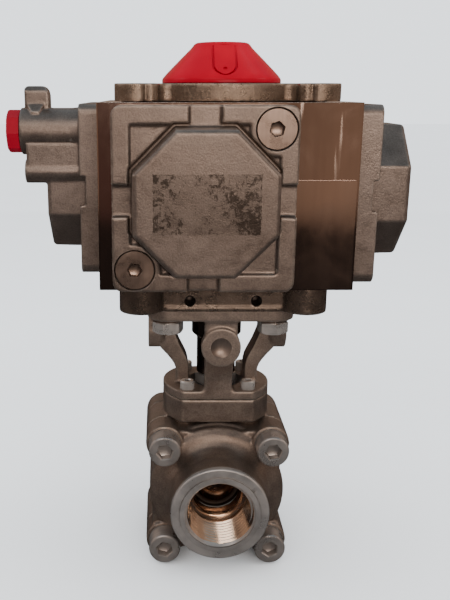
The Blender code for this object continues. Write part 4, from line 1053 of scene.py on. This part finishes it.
def indicator():
    profile = [(0, 247.0), (DOME_R1 - 2.6, 247.0), (DOME_R0 - 3.4, 234.6), (DOME_R0 - 2.4, DOME_Z0), (DOME_R0 - 0.3, DOME_Z0), (DOME_R0, DOME_Z0 + 0.3), (DOME_R0, DOME_Z0 + 1.5), (DOME_R0 - 0.3, DOME_Z0 + 2.2)]
    n = 14
    for i in range(1, n):
        f = i / n
        r = DOME_R0 - 0.5 + (DOME_R1 + 0.9 - DOME_R0 + 0.5) * f
        z = DOME_Z0 + 2.6 + (DOME_Z1 - 1.6 - DOME_Z0 - 2.6) * (f ** 0.97)
        profile.append((r, z))
    profile += [(DOME_R1 + 0.55, DOME_Z1 - 0.9), (DOME_R1 - 0.1, DOME_Z1 - 0.3), (DOME_R1 - 1.0, DOME_Z1), (0, DOME_Z1)]
    dome = turned(profile, 144)
    add(dome, turned([(0, 241.9), (7.0, 241.9), (7.0, 249.0), (0, 249.0)], 48))
    tilt = math.atan2(DOME_R0 - DOME_R1, DOME_Z1 - DOME_Z0 - 2)
    # Shield-shaped pointer that stands a little proud of the cone, set off by a groove.
    slope = math.degrees(tilt)
    local = Matrix.Translation((0, -19.6, 242.2)) @ Matrix.Rotation(math.radians(90 - slope), 4, "X")
    shield = [(-4.6, 9.0), (-4.6, -4.0), (-3.6, -6.4), (-1.6, -8.2), (0, -8.7), (1.6, -8.2), (3.6, -6.4), (4.6, -4.0), (4.6, 9.0)]
    outer = [(x * 1.22, y * 1.06 - 0.2) for x, y in shield]
    groove = prism(outer[::-1], -0.75, 3.5, local)
    common(groove, box(-10, 10, -40, -9.0, 232, DOME_Z1 - 1.2))
    cut(dome, groove)
    pad = prism(shield[::-1], -3.0, 0.35, local)
    common(pad, box(-10, 10, -40, -7.0, 232, DOME_Z1 - 0.1))
    add(dome, pad)
    cut(dome, rod(0.9, -0.35, 3, 24, local @ at(0, -5.2)))
    cut(dome, turned([(0, 230), (2.2, 230), (2.2, 246.6), (4.6, 248.8), (5.2, 249.9), (5.2, 255), (0, 255)], 48))
    done(dome, "red_indicator", "rotor", ("indicator_dome",), ("red",), bevel=0.22, segments=3, angle=26)
    screw = turned([(0, 230.0), (1.2, 230.0), (1.4, 230.3), (1.4, 246.9), (4.0, 249.3), (4.2, 249.6), (4.0, 249.9), (0, 249.9)], 48)
    cut(screw, turned([(0, 247.8), (1.5, 248.3), (1.5, 249.6), (1.7, 250.0), (1.7, 260), (0, 260)], 6))
    done(screw, "indicator_fixing_screw", "rotor", ("indicator_screw",), ("bolt",), bevel=0.1)


def nameplate():
    plate = prism(rounded(12.6, 23.2, 1.0, 6, 40.9, 170.1), 54.98, 55.45, FRONT)
    done(plate, "blank_plate", "housing", ("nameplate",), ("foil",), bevel=0.1)


valve_body()
end_cap(0, "front_pipe_cap", "front_end_cap")
end_cap(2, "rear_pipe_cap", "rear_end_cap")
valve_insides()
body_screws()
bracket()
bracket_screws()
coupling()
bottom_cover()
top_cover()
actuator_body()
caps()
pinion()
pistons_and_springs()
indicator()
nameplate()

# ------------------------------------------------------------------ stage, light and camera
stage, t, s = _new("pale_floor")
c = _coord(t)
t.links.new(_ramp(t, _noise(t, c, 6.0, 2.0), [(0.3, _grey(0.88)), (0.7, _grey(0.90))]), s.inputs["Base Color"])
s.inputs["Roughness"].default_value = 0.9
bm = bmesh.new()
bmesh.ops.create_grid(bm, x_segments=24, y_segments=24, size=6.0)
floor_mesh = bpy.data.meshes.new("floor")
bm.to_mesh(floor_mesh)
bm.free()
floor_mesh.materials.append(stage)
floor = bpy.data.objects.new("floor", floor_mesh)
bpy.context.scene.collection.objects.link(floor)


def painted_reflection_card(name, corners, low, high=None):
    """A glowing sheet that only glossy rays see, no lamp: it paints reflections in its own colour into the metals; the
    camera, diffuse light and shadows pass it by.
    """
    m = bpy.data.materials.new(name)
    m.use_nodes = True
    t = m.node_tree
    t.nodes.clear()
    out = _node(t, "ShaderNodeOutputMaterial")
    glow = _node(t, "ShaderNodeEmission")
    sep = _node(t, "ShaderNodeSeparateXYZ")
    t.links.new(_coord(t), sep.inputs[0])
    t.links.new(_ramp(t, _math(t, "MULTIPLY", sep.outputs[2], 1.0 / max(0.01, max(p[2] for p in corners))), [(0.0, low), (1.0, high or low)]), glow.inputs["Color"])
    t.links.new(glow.outputs[0], out.inputs["Surface"])
    m.cycles.emission_sampling = "NONE"
    mesh = bpy.data.meshes.new(name)
    mesh.from_pydata(corners, [], [tuple(range(len(corners)))])
    mesh.materials.append(m)
    obj = bpy.data.objects.new(name, mesh)
    bpy.context.scene.collection.objects.link(obj)
    obj.visible_camera = False
    obj.visible_diffuse = False
    obj.visible_shadow = False
    obj.visible_transmission = False
    return obj


FAR, TALL = 1.25, 1.3
# Painted reflections: a near-black sheet just over the pale floor paints a dark floor into the metals and shade on
# their undersides; a bluish glowing ceiling paints cool highlights on faces turned up; the walls paint warm tan
# reflections, maroon low on the front left lightening higher up.
painted_reflection_card("table_card", [(-FAR, -FAR, 0.0004), (FAR, -FAR, 0.0004), (FAR, FAR, 0.0004), (-FAR, FAR, 0.0004)], (0.032, 0.027, 0.027))
painted_reflection_card("ceiling_card", [(-FAR, -FAR, 1.3), (FAR, -FAR, 1.3), (FAR, FAR, 1.3), (-FAR, FAR, 1.3)], (0.26, 0.36, 0.44))
REFLECTED_TAN, REFLECTED_TAN_TOP, REFLECTED_MAROON = (0.38, 0.270, 0.205), (0.34, 0.26, 0.21), (0.12, 0.068, 0.062)
painted_reflection_card("front_card_left", [(-FAR, -FAR, 0), (-0.02, -FAR, 0), (-0.02, -FAR, TALL), (-FAR, -FAR, TALL)], REFLECTED_MAROON, (0.26, 0.20, 0.165))
painted_reflection_card("front_card_right", [(-0.02, -FAR, 0), (FAR, -FAR, 0), (FAR, -FAR, TALL), (-0.02, -FAR, TALL)], REFLECTED_TAN, REFLECTED_TAN_TOP)
painted_reflection_card("left_card", [(-FAR, -FAR, 0), (-FAR, FAR, 0), (-FAR, FAR, TALL), (-FAR, -FAR, TALL)], REFLECTED_TAN, REFLECTED_TAN_TOP)
painted_reflection_card("right_card", [(FAR, -FAR, 0), (FAR, FAR, 0), (FAR, FAR, TALL), (FAR, -FAR, TALL)], REFLECTED_TAN, REFLECTED_TAN_TOP)
painted_reflection_card("rear_card", [(-FAR, FAR, 0), (FAR, FAR, 0), (FAR, FAR, TALL), (-FAR, FAR, TALL)], REFLECTED_TAN, REFLECTED_TAN_TOP)


def area(name, location, target, size, power, color, size_y=None):
    data = bpy.data.lights.new(name, "AREA")
    data.energy = power
    data.color = color
    data.shape = "RECTANGLE" if size_y else "DISK"
    data.size = size
    if size_y:
        data.size_y = size_y
    lamp = bpy.data.objects.new(name, data)
    bpy.context.scene.collection.objects.link(lamp)
    lamp.location = location
    lamp.rotation_euler = (Vector(target) - Vector(location)).to_track_quat("-Z", "Y").to_euler()
    return lamp


area("key", (-0.35, -1.0, 0.95), (0, 0, 0.12), 0.8, 3.4, (1.0, 0.90, 0.82), 0.5)
area("fill", (0.15, -1.15, 0.38), (0, 0, 0.08), 0.7, 4.0, (1.0, 0.90, 0.82), 0.2)
area("top", (0.1, 0.25, 1.35), (0, 0, 0.15), 1.2, 2.5, (0.80, 0.92, 1.0), 0.9)
area("left", (-1.15, 0.1, 0.75), (0, 0, 0.15), 0.5, 2, (0.90, 0.95, 1.0), 0.6)
area("right", (1.15, -0.1, 0.75), (0, 0, 0.12), 0.5, 2, (1.0, 0.90, 0.82), 0.6)

world = bpy.data.worlds.new("studio")
world.use_nodes = True
tree = world.node_tree
background = tree.nodes["Background"]
background.inputs["Color"].default_value = (0.90, 0.95, 1.0, 1)
background.inputs["Strength"].default_value = 2.0
bpy.context.scene.world = world

camera_data = bpy.data.cameras.new("camera")
camera = bpy.data.objects.new("camera", camera_data)
bpy.context.scene.collection.objects.link(camera)
camera.location = (-0.029336, -0.405364, 0.22856)
camera.rotation_euler = (math.radians(90 - 15.676), 0, 0)
camera_data.sensor_width = 36
camera_data.lens = 833.634 * 36 / 600
camera_data.shift_x = (225 - 158.302) / 600
camera_data.shift_y = (326.178 - 300) / 600
camera_data.clip_start = 0.01
bpy.context.scene.camera = camera
